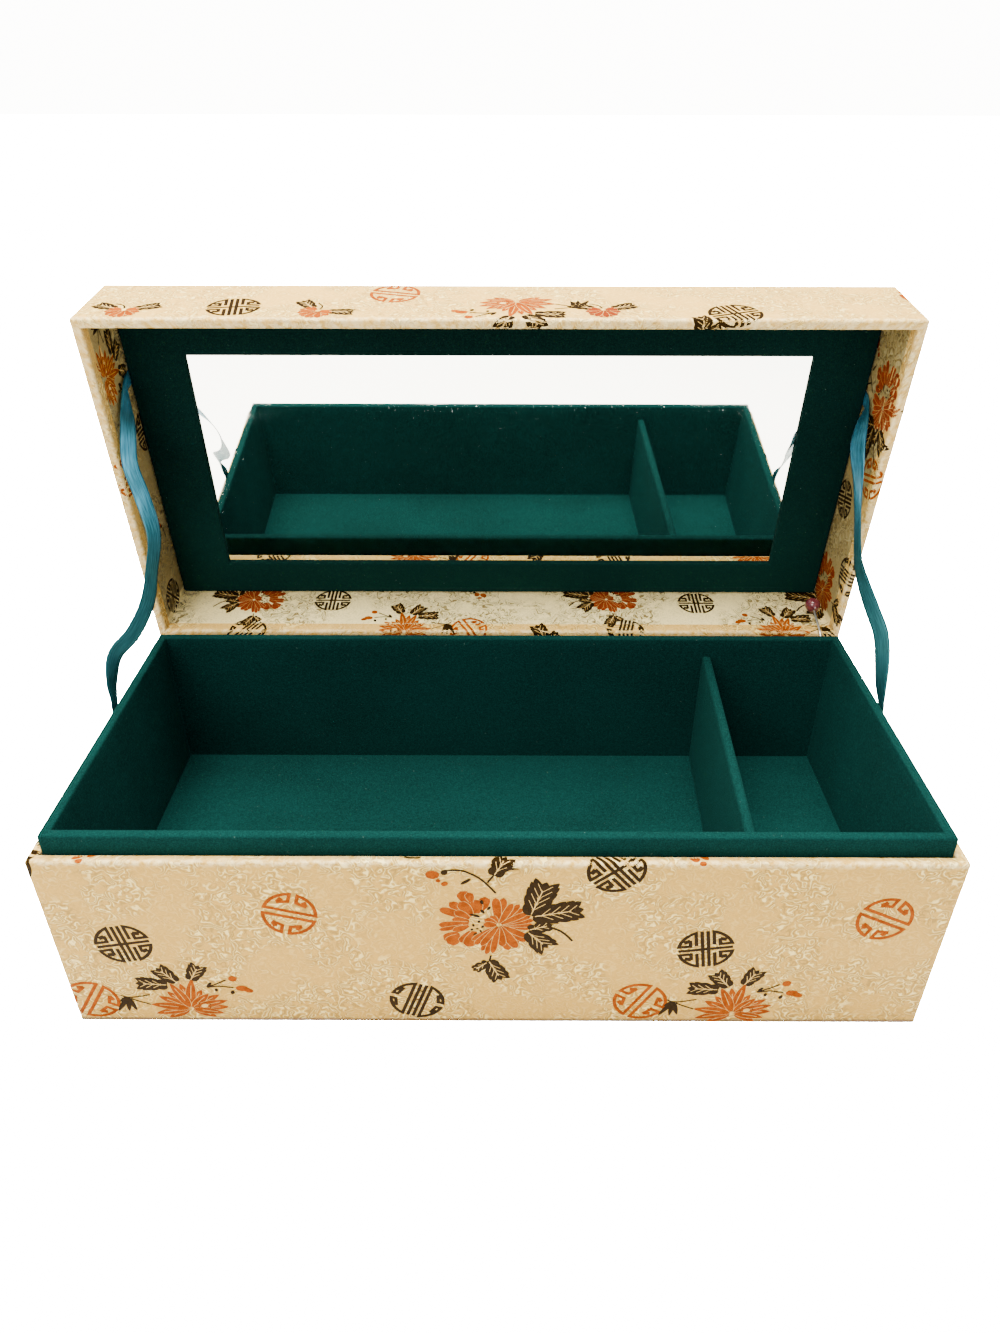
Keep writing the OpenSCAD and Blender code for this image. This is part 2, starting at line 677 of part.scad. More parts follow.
module bedplate() color(c_brass)
    difference() {
        in_movement() slab([bed_low[0], bed_low[1], -bedplate_t], [bed_high[0], bed_high[1], 0]);
        screw_holes(bed_z - cut, bed_z + bedplate_t + cut, screw_r + run_gap);
        translate([key_x, key_y, bed_z - cut]) cylinder(r = arbor_r + run_gap, h = bedplate_t + 2 * cut);
        in_movement() translate([fly_at[0], fly_at[1], -foot_pocket])
            cylinder(r = fly_arbor_r + run_gap, h = foot_pocket + cut);
    }

// bearing plate of the cylinder's driven end
module cylinder_plate_left() color(c_brass) in_movement()
    difference() {
        slab([left_plate_u1 - left_plate_t, cyl_v - plate_reach, 0],
            [left_plate_u1, cyl_v + plate_reach, plate_top]);
        translate([0, cyl_v, axis_w])
            along_x(left_plate_u1 - left_plate_t - cut, left_plate_u1 + cut, arbor_small_r + run_gap);
    }

// bearing plate between the cylinder's wheel and the worm wheel
module cylinder_plate_right() color(c_brass) in_movement()
    difference() {
        u1 = right_plate_u0 + bearing_t;
        slab([right_plate_u0, cyl_v - plate_reach, 0], [u1, gov_v + 3 * gov_arbor_r, plate_top]);
        translate([0, cyl_v, axis_w]) along_x(right_plate_u0 - cut, u1 + cut, arbor_small_r + run_gap);
        translate([0, gov_v, axis_w]) along_x(right_plate_u0 - cut, u1 + cut, gov_arbor_r + run_gap);
    }

// bridge over the spring barrel, on two legs
module barrel_bridge() color(c_brass) in_movement() {
    leg_v = crown_r + part_gap;
    difference() {
        slab([barrel_u - bridge_half, cyl_v - leg_v - leg_t, bridge_w0],
            [barrel_u + bridge_half, cyl_v + leg_v + leg_t, bridge_w1]);
        translate([barrel_u, cyl_v, bridge_w0 - cut])
            cylinder(r = arbor_r + run_gap, h = bearing_t + 2 * cut);
    }
    for (side = [-1, 1]) translate([barrel_u, cyl_v + side * (leg_v + leg_t / 2), 0])
        slab([-bridge_half, -leg_t / 2, 0], [bridge_half, leg_t / 2, bridge_w0]);
}

// comb: the low notes have the longest tines and carry lead weights
comb_t = 1;
tine_t = 0.5;
comb_back = -14.5;
comb_block_front = -10;
bass_root = -9.5;
treble_root = -7;
tip_gap = 0.12;
tine_tip = cyl_v - cylinder_r - pin_h - tip_gap;
tine_w0 = axis_w - tine_t;
tine_margin = 0.8;
tine_pitch = (cylinder_l - 2 * tine_margin) / tines;
tine_share = 0.72;
weighted_share = 0.4;
weight_l = 2.2;
weight_t = 1.2;
comb_screw_r = 0.7;
comb_head_r = 1.3;
comb_head_t = 0.8;
comb_screw_v = (comb_back + comb_block_front) / 2;
comb_screw_u = [cyl_u0 + cylinder_l / 5, cyl_u1 - cylinder_l / 5];

function tine_mid(k) = cyl_u0 + tine_margin + (k + 0.5) * tine_pitch;
function tine_root(k) = bass_root + (treble_root - bass_root) * k / (tines - 1);

module comb_screw_holes(w0, w1, r) {
    for (u = comb_screw_u) translate([u, comb_screw_v, w0]) cylinder(r = r, h = w1 - w0);
}

module comb_block() color(c_brass) in_movement()
    difference() {
        slab([cyl_u0, comb_back, 0], [cyl_u1, comb_block_front, tine_w0]);
        comb_screw_holes(tine_w0 / 2, tine_w0 + cut, comb_screw_r + run_gap);
    }

module comb() color(c_steel) in_movement() {
    difference() {
        translate([0, 0, tine_w0]) linear_extrude(height = comb_t)
            polygon([[cyl_u0, comb_back], [cyl_u1, comb_back], [cyl_u1, treble_root], [cyl_u0, bass_root]]);
        comb_screw_holes(tine_w0 - cut, tine_w0 + comb_t + cut, comb_screw_r + run_gap);
    }
    for (k = [0 : tines - 1]) {
        half = tine_pitch * tine_share / 2;
        slab([tine_mid(k) - half, tine_root(k) - comb_t, tine_w0], [tine_mid(k) + half, tine_tip, axis_w]);
        if (k < weighted_share * tines) {
            share = 1 - k / (weighted_share * tines) / 2;
            slab([tine_mid(k) - half, tine_tip - tine_t - weight_l * share, tine_w0 - weight_t * share],
                [tine_mid(k) + half, tine_tip - tine_t, axis_w - tine_t / 2]);
        }
    }
}

module comb_screws() color(c_steel) in_movement() {
    comb_screw_holes(tine_w0 / 2, tine_w0 + comb_t, comb_screw_r);
    difference() {
        comb_screw_holes(tine_w0 + comb_t, tine_w0 + comb_t + comb_head_t, comb_head_r);
        for (u = comb_screw_u)
            translate([u - comb_head_r, comb_screw_v - comb_head_t / 4, tine_w0 + comb_t + comb_head_t / 2])
                cube([2 * comb_head_r, comb_head_t / 2, comb_head_t]);
    }
}

module governor_bracket() color(c_brass) in_movement() {
    u1 = governor_plate_u0 + bearing_t;
    difference() {
        union() {
            slab([governor_plate_u0, gov_v - 4 * gov_arbor_r, 0],
                [u1, fly_at[1] + 2 * arm_half, governor_top]);
            slab([fly_at[0] - arm_half, fly_at[1] - arm_half, governor_top - bearing_t],
                [governor_plate_u0, fly_at[1] + arm_half, governor_top]);
        }
        translate([0, gov_v, axis_w]) along_x(governor_plate_u0 - cut, u1 + cut, gov_arbor_r + run_gap);
        translate([fly_at[0], fly_at[1], governor_top - bearing_t - cut])
            cylinder(r = fly_arbor_r + run_gap, h = bearing_t + 2 * cut);
    }
}

// screws from below, through the bottom board into the bedplate
module movement_screws() color(c_steel) {
    screw_holes(bottom_z, bed_z + bedplate_t, screw_r);
    difference() {
        screw_holes(bottom_z - screw_head_t, bottom_z, screw_head_r);
        for (p = screw_places) translate([movement_x + p[0], movement_y + p[1], bottom_z - screw_head_t])
            cube([2 * screw_head_r, screw_head_t / 2, screw_head_t], center = true);
    }
}

// barrel with the great wheel, whose teeth stand up and drive the cylinder's pinion
ledge_drop = 0.15;
module spring_barrel() color(c_brass) in_movement() translate([barrel_u, cyl_v, 0])
    difference() {
        bore_r = arbor_r + run_gap;
        crown_in = crown_pitch_r - gear_face / 2;
        root_w = crown_w - dedendum_share * crown_module;
        tip_w = crown_w + addendum_share * crown_module;
        ledge_w = root_w - ledge_drop;
        pitch = PI * crown_module;
        rotate_extrude()
            polygon([[bore_r, wheel_gap_w], [crown_r, wheel_gap_w], [crown_r, tip_w], [crown_in, tip_w],
                [crown_in, ledge_w], [barrel_r, ledge_w], [barrel_r, drum_top], [bore_r, drum_top],
                [bore_r, drum_top - drum_wall], [barrel_r - drum_wall, drum_top - drum_wall],
                [barrel_r - drum_wall, ledge_w], [bore_r, ledge_w]]);
        for (i = [0 : crown_teeth - 1]) rotate((i + 0.5) * 360 / crown_teeth)
            translate([crown_in - cut, 0, 0]) rotate([90, 0, 90]) linear_extrude(height = gear_face + 2 * cut)
                polygon([for (c = [[-root_share, root_w], [-pitch_share, crown_w],
                    [-tip_share, tip_w], [-tip_share, tip_w + cut], [tip_share, tip_w + cut],
                    [tip_share, tip_w], [pitch_share, crown_w], [root_share, root_w]])
                    [(sign(c[0]) - c[0]) * pitch / 2, c[1]]]);
    }

spiral_steps = 20;
spring_gap = 0.15;
spring_w = [2, 7.7];
module mainspring() color(c_steel) in_movement() translate([barrel_u, cyl_v, spring_w[0]]) {
    r0 = arbor_r + spring_gap + spring_t / 2;
    r1 = barrel_r - drum_wall - spring_gap - spring_t / 2;
    count = spring_turns * spiral_steps;
    edge = function (side) [for (i = [0 : count])
        let (r = r0 + (r1 - r0) * i / count + side * spring_t / 2, a = i * 360 / spiral_steps)
        [r * cos(a), r * sin(a)]];
    outer = edge(1);
    inner = edge(-1);
    linear_extrude(height = spring_w[1] - spring_w[0])
        polygon(concat(outer, [for (i = [count : -1 : 0]) inner[i]]));
}

module winding_arbor() color(c_steel)
    translate([key_x, key_y, key_foot_gap + key_web])
        cylinder(r = arbor_r, h = bed_z + bedplate_t + bridge_w1 - key_foot_gap - key_web);

// low key: a bar with round ends on a hub that is screwed on the arbor
module winding_key() color(c_brass) translate([key_x, key_y, 0])
    difference() {
        bar_top = under_gap - key_clear;
        end_r = (bar_top - key_foot_gap) / 2;
        union() {
            translate([0, 0, key_foot_gap]) cylinder(r = key_hub_r, h = bed_z - key_clear - key_foot_gap);
            translate([0, key_t / 2, (bar_top + key_foot_gap) / 2]) rotate([90, 0, 0])
                linear_extrude(height = key_t) {
                    square([key_l - 2 * end_r, 2 * end_r], center = true);
                    for (side = [-1, 1]) translate([side * (key_l / 2 - end_r), 0]) circle(r = end_r);
                }
        }
        translate([0, 0, key_foot_gap + key_web]) cylinder(r = arbor_r, h = bed_z);
    }

// the pins stand in one ring for each tine; they follow a rule and spell no tune
notes = 3;
ring_step = 137;
note_step = 17;
module cylinder_pins() {
    for (k = [0 : tines - 1], j = [0 : notes - 1])
        translate([tine_mid(k), 0, 0])
            rotate([k * ring_step + j * 360 / notes + note_step * (k % notes) * j, 0, 0])
                cylinder(r = pin_r, h = cylinder_r + pin_h, $fn = 16);
}

module pinned_cylinder() color(c_brass) in_movement() translate([0, cyl_v, axis_w])
    difference() {
        union() {
            along_x(cyl_u0, cyl_u1, cylinder_r);
            cylinder_pins();
        }
        along_x(cyl_u0 - cut, cyl_u1 + cut, arbor_small_r);
    }

module cylinder_arbor() color(c_steel) in_movement() translate([0, cyl_v, axis_w])
    along_x(pinion_mid - gear_face / 2 - part_gap / 2, right_plate_u0 + bearing_t, arbor_small_r);

// a gap of the pinion faces the great wheel, below
module cylinder_pinion() color(c_steel) in_movement() translate([0, cyl_v, axis_w])
    difference() {
        gear_x(pinion_mid - gear_face / 2, gear_face, pinion_teeth, crown_module, -90 + 180 / pinion_teeth);
        along_x(pinion_mid - gear_face, pinion_mid + gear_face, arbor_small_r);
    }

// a tooth of the wheel faces the governor's pinion, behind
module cylinder_wheel() color(c_brass) in_movement() translate([0, cyl_v, axis_w])
    difference() {
        gear_x(wheel_u0, wheel_face, wheel_teeth, wheel_module, 0);
        along_x(wheel_u0 - cut, wheel_u0 + wheel_face + cut, arbor_small_r);
    }

worm_tooth = 0.5;
module governor_wheel() color(c_brass) in_movement() translate([0, gov_v, axis_w]) {
    u0 = wheel_u0 + wheel_face / 2 - gear_face / 2;
    along_x(u0, governor_plate_u0 + bearing_t, gov_arbor_r);
    gear_x(u0, gear_face, governor_pinion_teeth, wheel_module, 180 + 180 / governor_pinion_teeth);
    flanks = [[-root_share, worm_tooth], [-tip_share, 0], [tip_share, 0], [root_share, worm_tooth]];
    translate([fly_at[0] - wheel_face / 2, 0, 0]) rotate([90, 0, 90]) linear_extrude(height = wheel_face)
        polygon([for (i = [0 : worm_wheel_teeth - 1], row = flanks)
            let (a = (i + row[0] / 2) * 360 / worm_wheel_teeth, r = worm_wheel_r - row[1])
            [r * cos(a), r * sin(a)]]);
}

// worm, brake disc and fan on one arbor
module governor_fly() color(c_steel) in_movement() translate([fly_at[0], fly_at[1], 0]) {
    ridge = (worm_w[1] - worm_w[0]) / worm_ridges;
    translate([0, 0, foot_play - foot_pocket])
        cylinder(r = fly_arbor_r, h = governor_top + foot_pocket - foot_play);
    rotate_extrude() polygon(concat([[0, worm_w[0]]],
        [for (i = [0 : worm_ridges - 1]) each [[worm_core_r, worm_w[0] + i * ridge],
            [worm_r, worm_w[0] + (i + 0.4) * ridge], [worm_r, worm_w[0] + (i + 0.6) * ridge]]],
        [[worm_core_r, worm_w[1]], [0, worm_w[1]]]));
    translate([0, 0, disc_top - disc_t]) cylinder(r = disc_r, h = disc_t);
    slab([-vane_reach, -vane_t / 2, vane_w[0]], [vane_reach, vane_t / 2, vane_w[1]]);
}

front_board();
back_board();
left_board();
right_board();
bottom_board();
underside_paper();
base_brocade();
hinge_cloth_base();
tray_walls();
tray_floor();
tray_divider();
tray_bearers();
ribbon_left();
ribbon_right();
lid_front_board();
lid_back_board();
lid_left_board();
lid_right_board();
lid_top_board();
lid_brocade();
lid_lining();
hinge_cloth_lid();
mirror_mat();
mirror_glass();
mirror_spacer();
mirror_backing();
stop_bracket();
stop_pivot_pin();
stop_lever();
stop_bead();
stop_wire();
bedplate();
cylinder_plate_left();
cylinder_plate_right();
barrel_bridge();
comb_block();
comb();
comb_screws();
governor_bracket();
movement_screws();
spring_barrel();
mainspring();
winding_arbor();
winding_key();
pinned_cylinder();
cylinder_arbor();
cylinder_pinion();
cylinder_wheel();
governor_wheel();
governor_fly();
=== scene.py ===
# Looks of the musical jewellery box: its cloths and their woven motifs, felt, ribbons and finishes,
# with the floor, light and camera. Lengths here are in millimetres, and become metres in make_mesh.
import json
import math

import bpy
import numpy as np
from mathutils import Matrix, Vector


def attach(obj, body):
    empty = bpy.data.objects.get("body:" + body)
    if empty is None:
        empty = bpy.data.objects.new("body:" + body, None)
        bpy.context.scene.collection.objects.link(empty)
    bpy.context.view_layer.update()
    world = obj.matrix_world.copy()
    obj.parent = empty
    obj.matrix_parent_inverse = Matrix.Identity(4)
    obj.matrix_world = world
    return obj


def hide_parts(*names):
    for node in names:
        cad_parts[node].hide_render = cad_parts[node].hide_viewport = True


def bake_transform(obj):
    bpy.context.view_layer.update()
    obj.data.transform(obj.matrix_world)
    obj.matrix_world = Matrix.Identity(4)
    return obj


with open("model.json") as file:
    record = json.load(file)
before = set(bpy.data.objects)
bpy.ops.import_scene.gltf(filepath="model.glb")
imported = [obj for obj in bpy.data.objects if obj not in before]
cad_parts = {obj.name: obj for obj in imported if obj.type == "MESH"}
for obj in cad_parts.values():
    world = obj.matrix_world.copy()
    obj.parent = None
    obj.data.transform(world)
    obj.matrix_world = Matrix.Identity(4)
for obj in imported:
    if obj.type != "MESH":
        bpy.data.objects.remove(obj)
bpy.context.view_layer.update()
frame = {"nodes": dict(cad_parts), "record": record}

MM = 0.001
# Rounded edges and corners are drawn in steps, and the cloth in cells
ROUND_STEPS = 5
CLOTH_CELL = 3.0
# Box
BOX_W = 300.0
BOX_D = 139.5
BASE_H = 77.7
WALL = 3.6
CLOTH = 0.4
EDGE_R = 1.0
TURN_IN = 6.0
HEM = 0.2
BASE_TOP = 77.55
# The cloth runs once round the walls, from its join at the back left corner, and swells where it isn't held
JOIN_S = 3 * BOX_W / 2 + BOX_D
AROUND = 2 * (BOX_W + BOX_D)
BACK_S = BOX_W + BOX_D
RIGHT_S = BOX_W / 2 + BOX_D
LEFT_S = JOIN_S - AROUND
SWELL = 0.05
FOLD_ANGLE = 50
WAVE_COUNT = 9
WAVE_LENGTHS = (11, 46)
# Lid
LID_RIM = 0.15
LID_H = 37.6
LID_OPEN = math.radians(83)
TOP_IN = 34.4
# On the lid's inner faces the cloth's t falls as the height rises
INNER_T = -WALL + LID_RIM
LINING_LAP = 0.6
LINING_HEM = 0.1
LINING_STEP = 0.12
LINING_LOW = LID_RIM + TURN_IN - LINING_LAP
LINING_SWELL = 0.04
# The top's cloth goes on from the front wall
TOP_T = LID_H - EDGE_R
TOP_POINTS = (98, 45)
# Tray
TRAY_W = 291.6
TRAY_FRONT = -65.75
TRAY_REAR = 60.85
TRAY_TOP = 84.7
TRAY_FOOT = 19.5
TRAY_WALL = 3.5
FLOOR_TOP = 21.9
DIVIDER_T = 3.6
DIVIDER_X = 86.52
DIVIDER_TOP = 76.1
DIVIDER_SLANT = math.radians(3)
DIVIDER_R = 1.3
DIVIDER_STRAIGHT = (20.0, 12.0)
DIVIDER_BOW = 0.06
# Felt on the tray: rounded outer and inner edges, and a floor that turns up a little where it meets the walls
FELT_R = 0.8
FELT_IN_R = 0.25
FELT_SEAM = 0.05
FELT_ANGLE = 60
FLOOR_HELD = 9.0
FLOOR_TURN_UP = 0.25
FLOOR_TURN_REACH = 3.2
# Hinge strip
LEAF_H = 14.0
HINGE_T = 0.3
ROLL_R = 0.464
HINGE_HALF = BOX_W / 2 - LEAF_H
HINGE_EDGE = 0.3
HINGE_COLUMNS = 90
# Mirror and its mat
MAT_W = 291.2
MAT_D = 130.7
MAT_GAP = 0.8
MAT_H = 29.4
MAT_R = 0.5
MAT_CORNER = 0.3
GLASS_H = 31.2
WINDOW_W = 245.0
WINDOW_D = 95.6
WINDOW_FROM_HINGE = 19.7
# Ribbons
RIBBON_W = 6.0
RIBBON_T = 0.3
RIBBON_WALL_X = 146.1
RIBBON_FOOT = 7.0
RIBBON_TUCK = 3.0
RIBBON_ACROSS = 9
RIBBON_CUP = 0.12
ROUTE_STEPS = 8
# Camera, solved from the photograph's corners: metres, degrees, and millimetres of lens
CAMERA_PLACE = (0.0011, -0.2860, 0.2878)
CAMERA_TILT = 57.7
CAMERA_LEAN = 0.1
LENS = 25.25
SENSOR = 36
NEAREST = 0.01


def lid_place(x, d, h):
    """A point of the shut lid, d to the front and h up from the hinge line, in its open place."""
    c, s = math.cos(LID_OPEN), math.sin(LID_OPEN)
    return np.stack(np.broadcast_arrays(x, BOX_D / 2 - c * d + s * h, BASE_H + s * d + c * h), axis=-1)


def add_object(name, data):
    obj = bpy.data.objects.new(name, data)
    bpy.context.scene.collection.objects.link(obj)
    return obj


def make_camera():
    data = bpy.data.cameras.new("camera")
    data.sensor_width = SENSOR
    data.lens = LENS
    data.clip_start = NEAREST
    lean = Matrix.Rotation(math.radians(CAMERA_LEAN), 4, "Z")
    tilt = Matrix.Rotation(math.radians(CAMERA_TILT), 4, "X")
    cam = add_object("camera", data)
    cam.matrix_world = Matrix.Translation(CAMERA_PLACE) @ lean @ tilt @ lean
    bpy.context.scene.camera = cam


make_camera()


# Meshes
def make_mesh(name, points, faces, uv=None):
    """A mesh from points in millimetres, with the cloth's own millimetres as its UV map."""
    mesh = bpy.data.meshes.new(name)
    mesh.from_pydata((np.asarray(points, float) * MM).tolist(), [], [list(map(int, f)) for f in faces])
    if uv is not None:
        layer = mesh.uv_layers.new(name="cloth")
        loops = np.zeros(len(mesh.loops), np.int32)
        mesh.loops.foreach_get("vertex_index", loops)
        uv = np.asarray(uv, float)
        corners = uv[loops] if len(uv) == len(points) else uv
        layer.data.foreach_set("uv", corners.ravel().astype(np.float32))
    mesh.polygons.foreach_set("use_smooth", [True] * len(mesh.polygons))
    mesh.update()
    return add_object(name, mesh)


def grid_faces(rows, cols, close=False):
    """Quads of a grid of rows by cols points, closed along the columns if asked."""
    r = np.arange(rows - 1)[:, None]
    c = np.arange(cols if close else cols - 1)[None, :]
    n = (c + 1) % cols
    quads = np.stack([r * cols + c, r * cols + n, (r + 1) * cols + n, (r + 1) * cols + c], axis=-1)
    return quads.reshape(-1, 4)


def grid_mesh(name, points, uv=None):
    """A mesh from a grid of points, such as one flat or bent piece of cloth."""
    faces = grid_faces(*points.shape[:2])
    return make_mesh(name, points.reshape(-1, 3), faces, None if uv is None else uv.reshape(-1, 2))


def sharp_by_angle(obj, degrees):
    """Marks the edges that turn by more than this as sharp."""
    obj.data.set_sharp_from_angle(angle=math.radians(degrees))
    return obj


def arc(centre, radius, start, end, steps):
    """Points of an arc, angles in degrees."""
    a = np.radians(np.linspace(start, end, steps + 1))
    return [(centre[0] + radius * math.cos(t), centre[1] + radius * math.sin(t)) for t in a]


def waves(s, t, seed):
    """Very small unevenness of a glued cloth, between about -1 and 1."""
    rng = np.random.default_rng(seed)
    total = np.zeros(np.broadcast(s, t).shape)
    for _ in range(WAVE_COUNT):
        angle = rng.uniform(0, math.pi)
        k = 2 * math.pi / rng.uniform(*WAVE_LENGTHS)
        height = rng.uniform(0.4, 1)
        way = np.cos(angle) * s + np.sin(angle) * t
        total = total + height * np.sin(k * way + rng.uniform(0, 6.28))
    return total / 4


def length_along(line):
    """The way run from a line's start to each of its points."""
    return np.concatenate([[0], np.cumsum(np.linalg.norm(np.diff(line, axis=0), axis=1))])


# Ribbons: each station gives the way inward from the wall in ribbon widths, the shares of the way
# back and up from foot to head, or of the foot's depth, and the turn of the width out of the wall's plane
LEFT_ROUTE = [
    (0, 0, -1, 0), (0, 0, 0.05, 0), (0, 0.015, 0.085, 4), (-0.1, 0.05, 0.14, 20), (0.1, 0.12, 0.22, 45),
    (1.1, 0.2, 0.275, 50), (1.85, 0.3, 0.355, 45), (2.1, 0.392, 0.451, 30), (2.2, 0.49, 0.555, 40),
    (1.5, 0.572, 0.675, 70), (0.8, 0.643, 0.778, 80), (0.6, 0.756, 0.889, 50), (0.15, 0.91, 0.985, 0)]
RIGHT_ROUTE = [
    (0, 0, -1, 0), (0, 0, 0.05, 0), (0, 0.015, 0.085, 4), (0, 0.06, 0.14, 25), (-0.05, 0.12, 0.22, 45),
    (0.05, 0.184, 0.3, 50), (0.45, 0.26, 0.366, 45), (0.9, 0.348, 0.439, 30), (1.2, 0.442, 0.523, 10),
    (1.1, 0.58, 0.66, 5), (0.95, 0.694, 0.766, 20), (0.85, 0.8, 0.86, 50), (0.5, 0.88, 0.94, 30),
    (0.1, 0.95, 0.99, 0)]


def smooth_through(points, steps):
    """Catmull-Rom curve through the points, with steps parts between each two."""
    p = np.array(points, float)
    out = []
    for i in range(len(p) - 1):
        a, b, c, e = p[max(i - 1, 0)], p[i], p[i + 1], p[min(i + 2, len(p) - 1)]
        for k in range(steps):
            t = k / steps
            out.append(0.5 * (2 * b + (c - a) * t + (2 * a - 5 * b + 4 * c - e) * t ** 2
                              + (3 * b - a - 3 * c + e) * t ** 3))
    out.append(p[-1])
    return np.array(out)


def unit(v):
    return v / np.linalg.norm(v, axis=-1, keepdims=True)


def ribbon_frames(route, foot_y, head_d):
    """Centre line of a ribbon, its directions across the width and through the cloth, on the right side."""
    head = lid_place(0.0, head_d, MAT_H)
    tuck = lid_place(0.0, head_d, MAT_H + RIBBON_TUCK)
    stations = []
    for inward, back, up, turn in list(route) + [(0, 1, 1, 0)]:
        rise = RIBBON_FOOT if up < 0 else head[2] - BASE_H
        stations.append((RIBBON_WALL_X - inward * RIBBON_W, foot_y + back * (head[1] - foot_y),
                         BASE_H + up * rise, turn))
    stations.append((RIBBON_WALL_X, tuck[1], tuck[2], 0))
    line = smooth_through(stations, ROUTE_STEPS)
    centre, turn = line[:, :3], np.radians(line[:, 3])[:, None]
    steps = [centre[1:2] - centre[:1], centre[2:] - centre[:-2], centre[-1:] - centre[-2:-1]]
    along = unit(np.concatenate(steps))
    back = -unit(np.cross(along, (1.0, 0.0, 0.0)))
    across = np.cross(along, back)
    wide = np.cos(turn) * back + np.sin(turn) * across
    return centre, wide, np.cross(along, wide)


def make_ribbon(name, side, route, foot_y, head_d):
    """A satin ribbon with soft selvedges and a slight cup, along the same route as its solid."""
    centre, wide, thin = ribbon_frames(route, foot_y, head_d)
    u = np.linspace(-1, 1, RIBBON_ACROSS)
    half_t = RIBBON_T / 2 * np.sqrt(np.clip(1.02 - u ** 8, 0.02, 1))
    cup = RIBBON_CUP * (u ** 2 - 0.4)
    run = length_along(centre)
    section = np.concatenate([np.stack([u, cup - half_t], 1), np.stack([u[::-1], (cup + half_t)[::-1]], 1)])
    points = (centre[:, None] + section[None, :, :1] * wide[:, None] * RIBBON_W / 2
              + section[None, :, 1:] * thin[:, None])
    points[..., 0] *= side
    count = len(section)
    faces = grid_faces(len(centre), count, close=True)
    faces = [tuple(f) if side < 0 else tuple(f[::-1]) for f in faces]
    last = (len(centre) - 1) * count
    faces += [tuple(range(count)), tuple(range(last, last + count))[::-1]]
    uv = np.stack(np.broadcast_arrays(section[None, :, 0] * RIBBON_W / 2, run[:, None]), -1).reshape(-1, 2)
    ribbon = make_mesh(name, points.reshape(-1, 3), faces, uv)
    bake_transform(ribbon)
    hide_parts(name.replace("satin", "ribbon"))
    return ribbon


satin_left = make_ribbon("satin_left", -1, LEFT_ROUTE, 6.5, 106.0)
satin_right = make_ribbon("satin_right", 1, RIGHT_ROUTE, 8.0, 98.0)


# Cloth wrapped round a box's walls
class Profile:
    """A wall's section as a line: inset from the outer face, height, and the cloth's length along it."""

    def __init__(self, points, start_at):
        self.p = np.array(points, float)
        self.t = length_along(self.p) + start_at
        along = unit(np.gradient(self.p, axis=0))
        self.n = np.stack([-along[:, 1], along[:, 0]], axis=1)

    def at(self, t):
        """Inset and height at t, and the two parts of the direction out of the cloth."""
        return [np.interp(t, self.t, column) for column in (*self.p.T, *self.n.T)]


SIDES = [BOX_W, BOX_D, BOX_W, BOX_D]
BEND = EDGE_R * math.pi / 4


def ring_point(s, inset):
    """Point on the box's rounded outline, s from the middle of the front, moved inwards by inset."""
    inset = np.broadcast_to(inset, s.shape).astype(float)
    w = np.mod(s + BOX_W / 2, AROUND)
    x, y = np.zeros_like(s), np.zeros_like(s)
    start = 0.0
    for side, length in enumerate(SIDES):
        here = (w >= start) & (w < start + length + 1e-9)
        a = length / 2
        v = w - start - a
        flat = np.clip(v, BEND - a, a - BEND)
        turned = (v - flat) / EDGE_R
        corner = np.maximum(EDGE_R - inset, 0)
        reach = a - np.maximum(inset, EDGE_R)
        along = flat * reach / (a - BEND) + corner * np.sin(turned)
        half = SIDES[side - 1] / 2
        out = half - np.maximum(inset, EDGE_R) + corner * np.cos(turned)
        # the front faces -Y: side 0 runs along +X, side 1 along +Y, and so on
        turn = math.radians(90 * side)
        x = np.where(here, along * math.cos(turn) + out * math.sin(turn), x)
        y = np.where(here, along * math.sin(turn) - out * math.cos(turn), y)
        start += length
    return x, y


def ring_stations():
    """Stations of s round the box: even cells along each side, and a few round each corner."""
    out = []
    start = -BOX_W / 2
    for length in SIDES:
        count = int(round((length - 2 * BEND) / CLOTH_CELL))
        out += list(start + np.linspace(0, BEND, 3)[:-1])
        out += list(start + BEND + np.linspace(0, length - 2 * BEND, count + 1)[:-1])
        out += list(start + length - BEND + np.linspace(0, BEND, 3)[:-1])
        start += length
    return np.array(out)


class Wrap:
    """Cloth round a box's walls: maps the cloth's millimetres s, t to points."""

    def __init__(self, profile, seed, place=None, swell=SWELL):
        self.profile, self.seed, self.place, self.swell = profile, seed, place, swell

    def at(self, s, t, lift=0.0):
        s, t = np.broadcast_arrays(np.asarray(s, float), np.asarray(t, float))
        inset, z, inward, up = self.profile.at(t)
        from_end = np.minimum(t - self.profile.t[0], self.profile.t[-1] - t)
        lift = lift + self.swell * waves(s, t, self.seed) * np.clip(from_end / TURN_IN, 0, 1)
        x, y = ring_point(s, inset + lift * inward)
        z = z + lift * up
        return np.stack([x, y, z], axis=-1) if self.place is None else self.place(x, y, z)


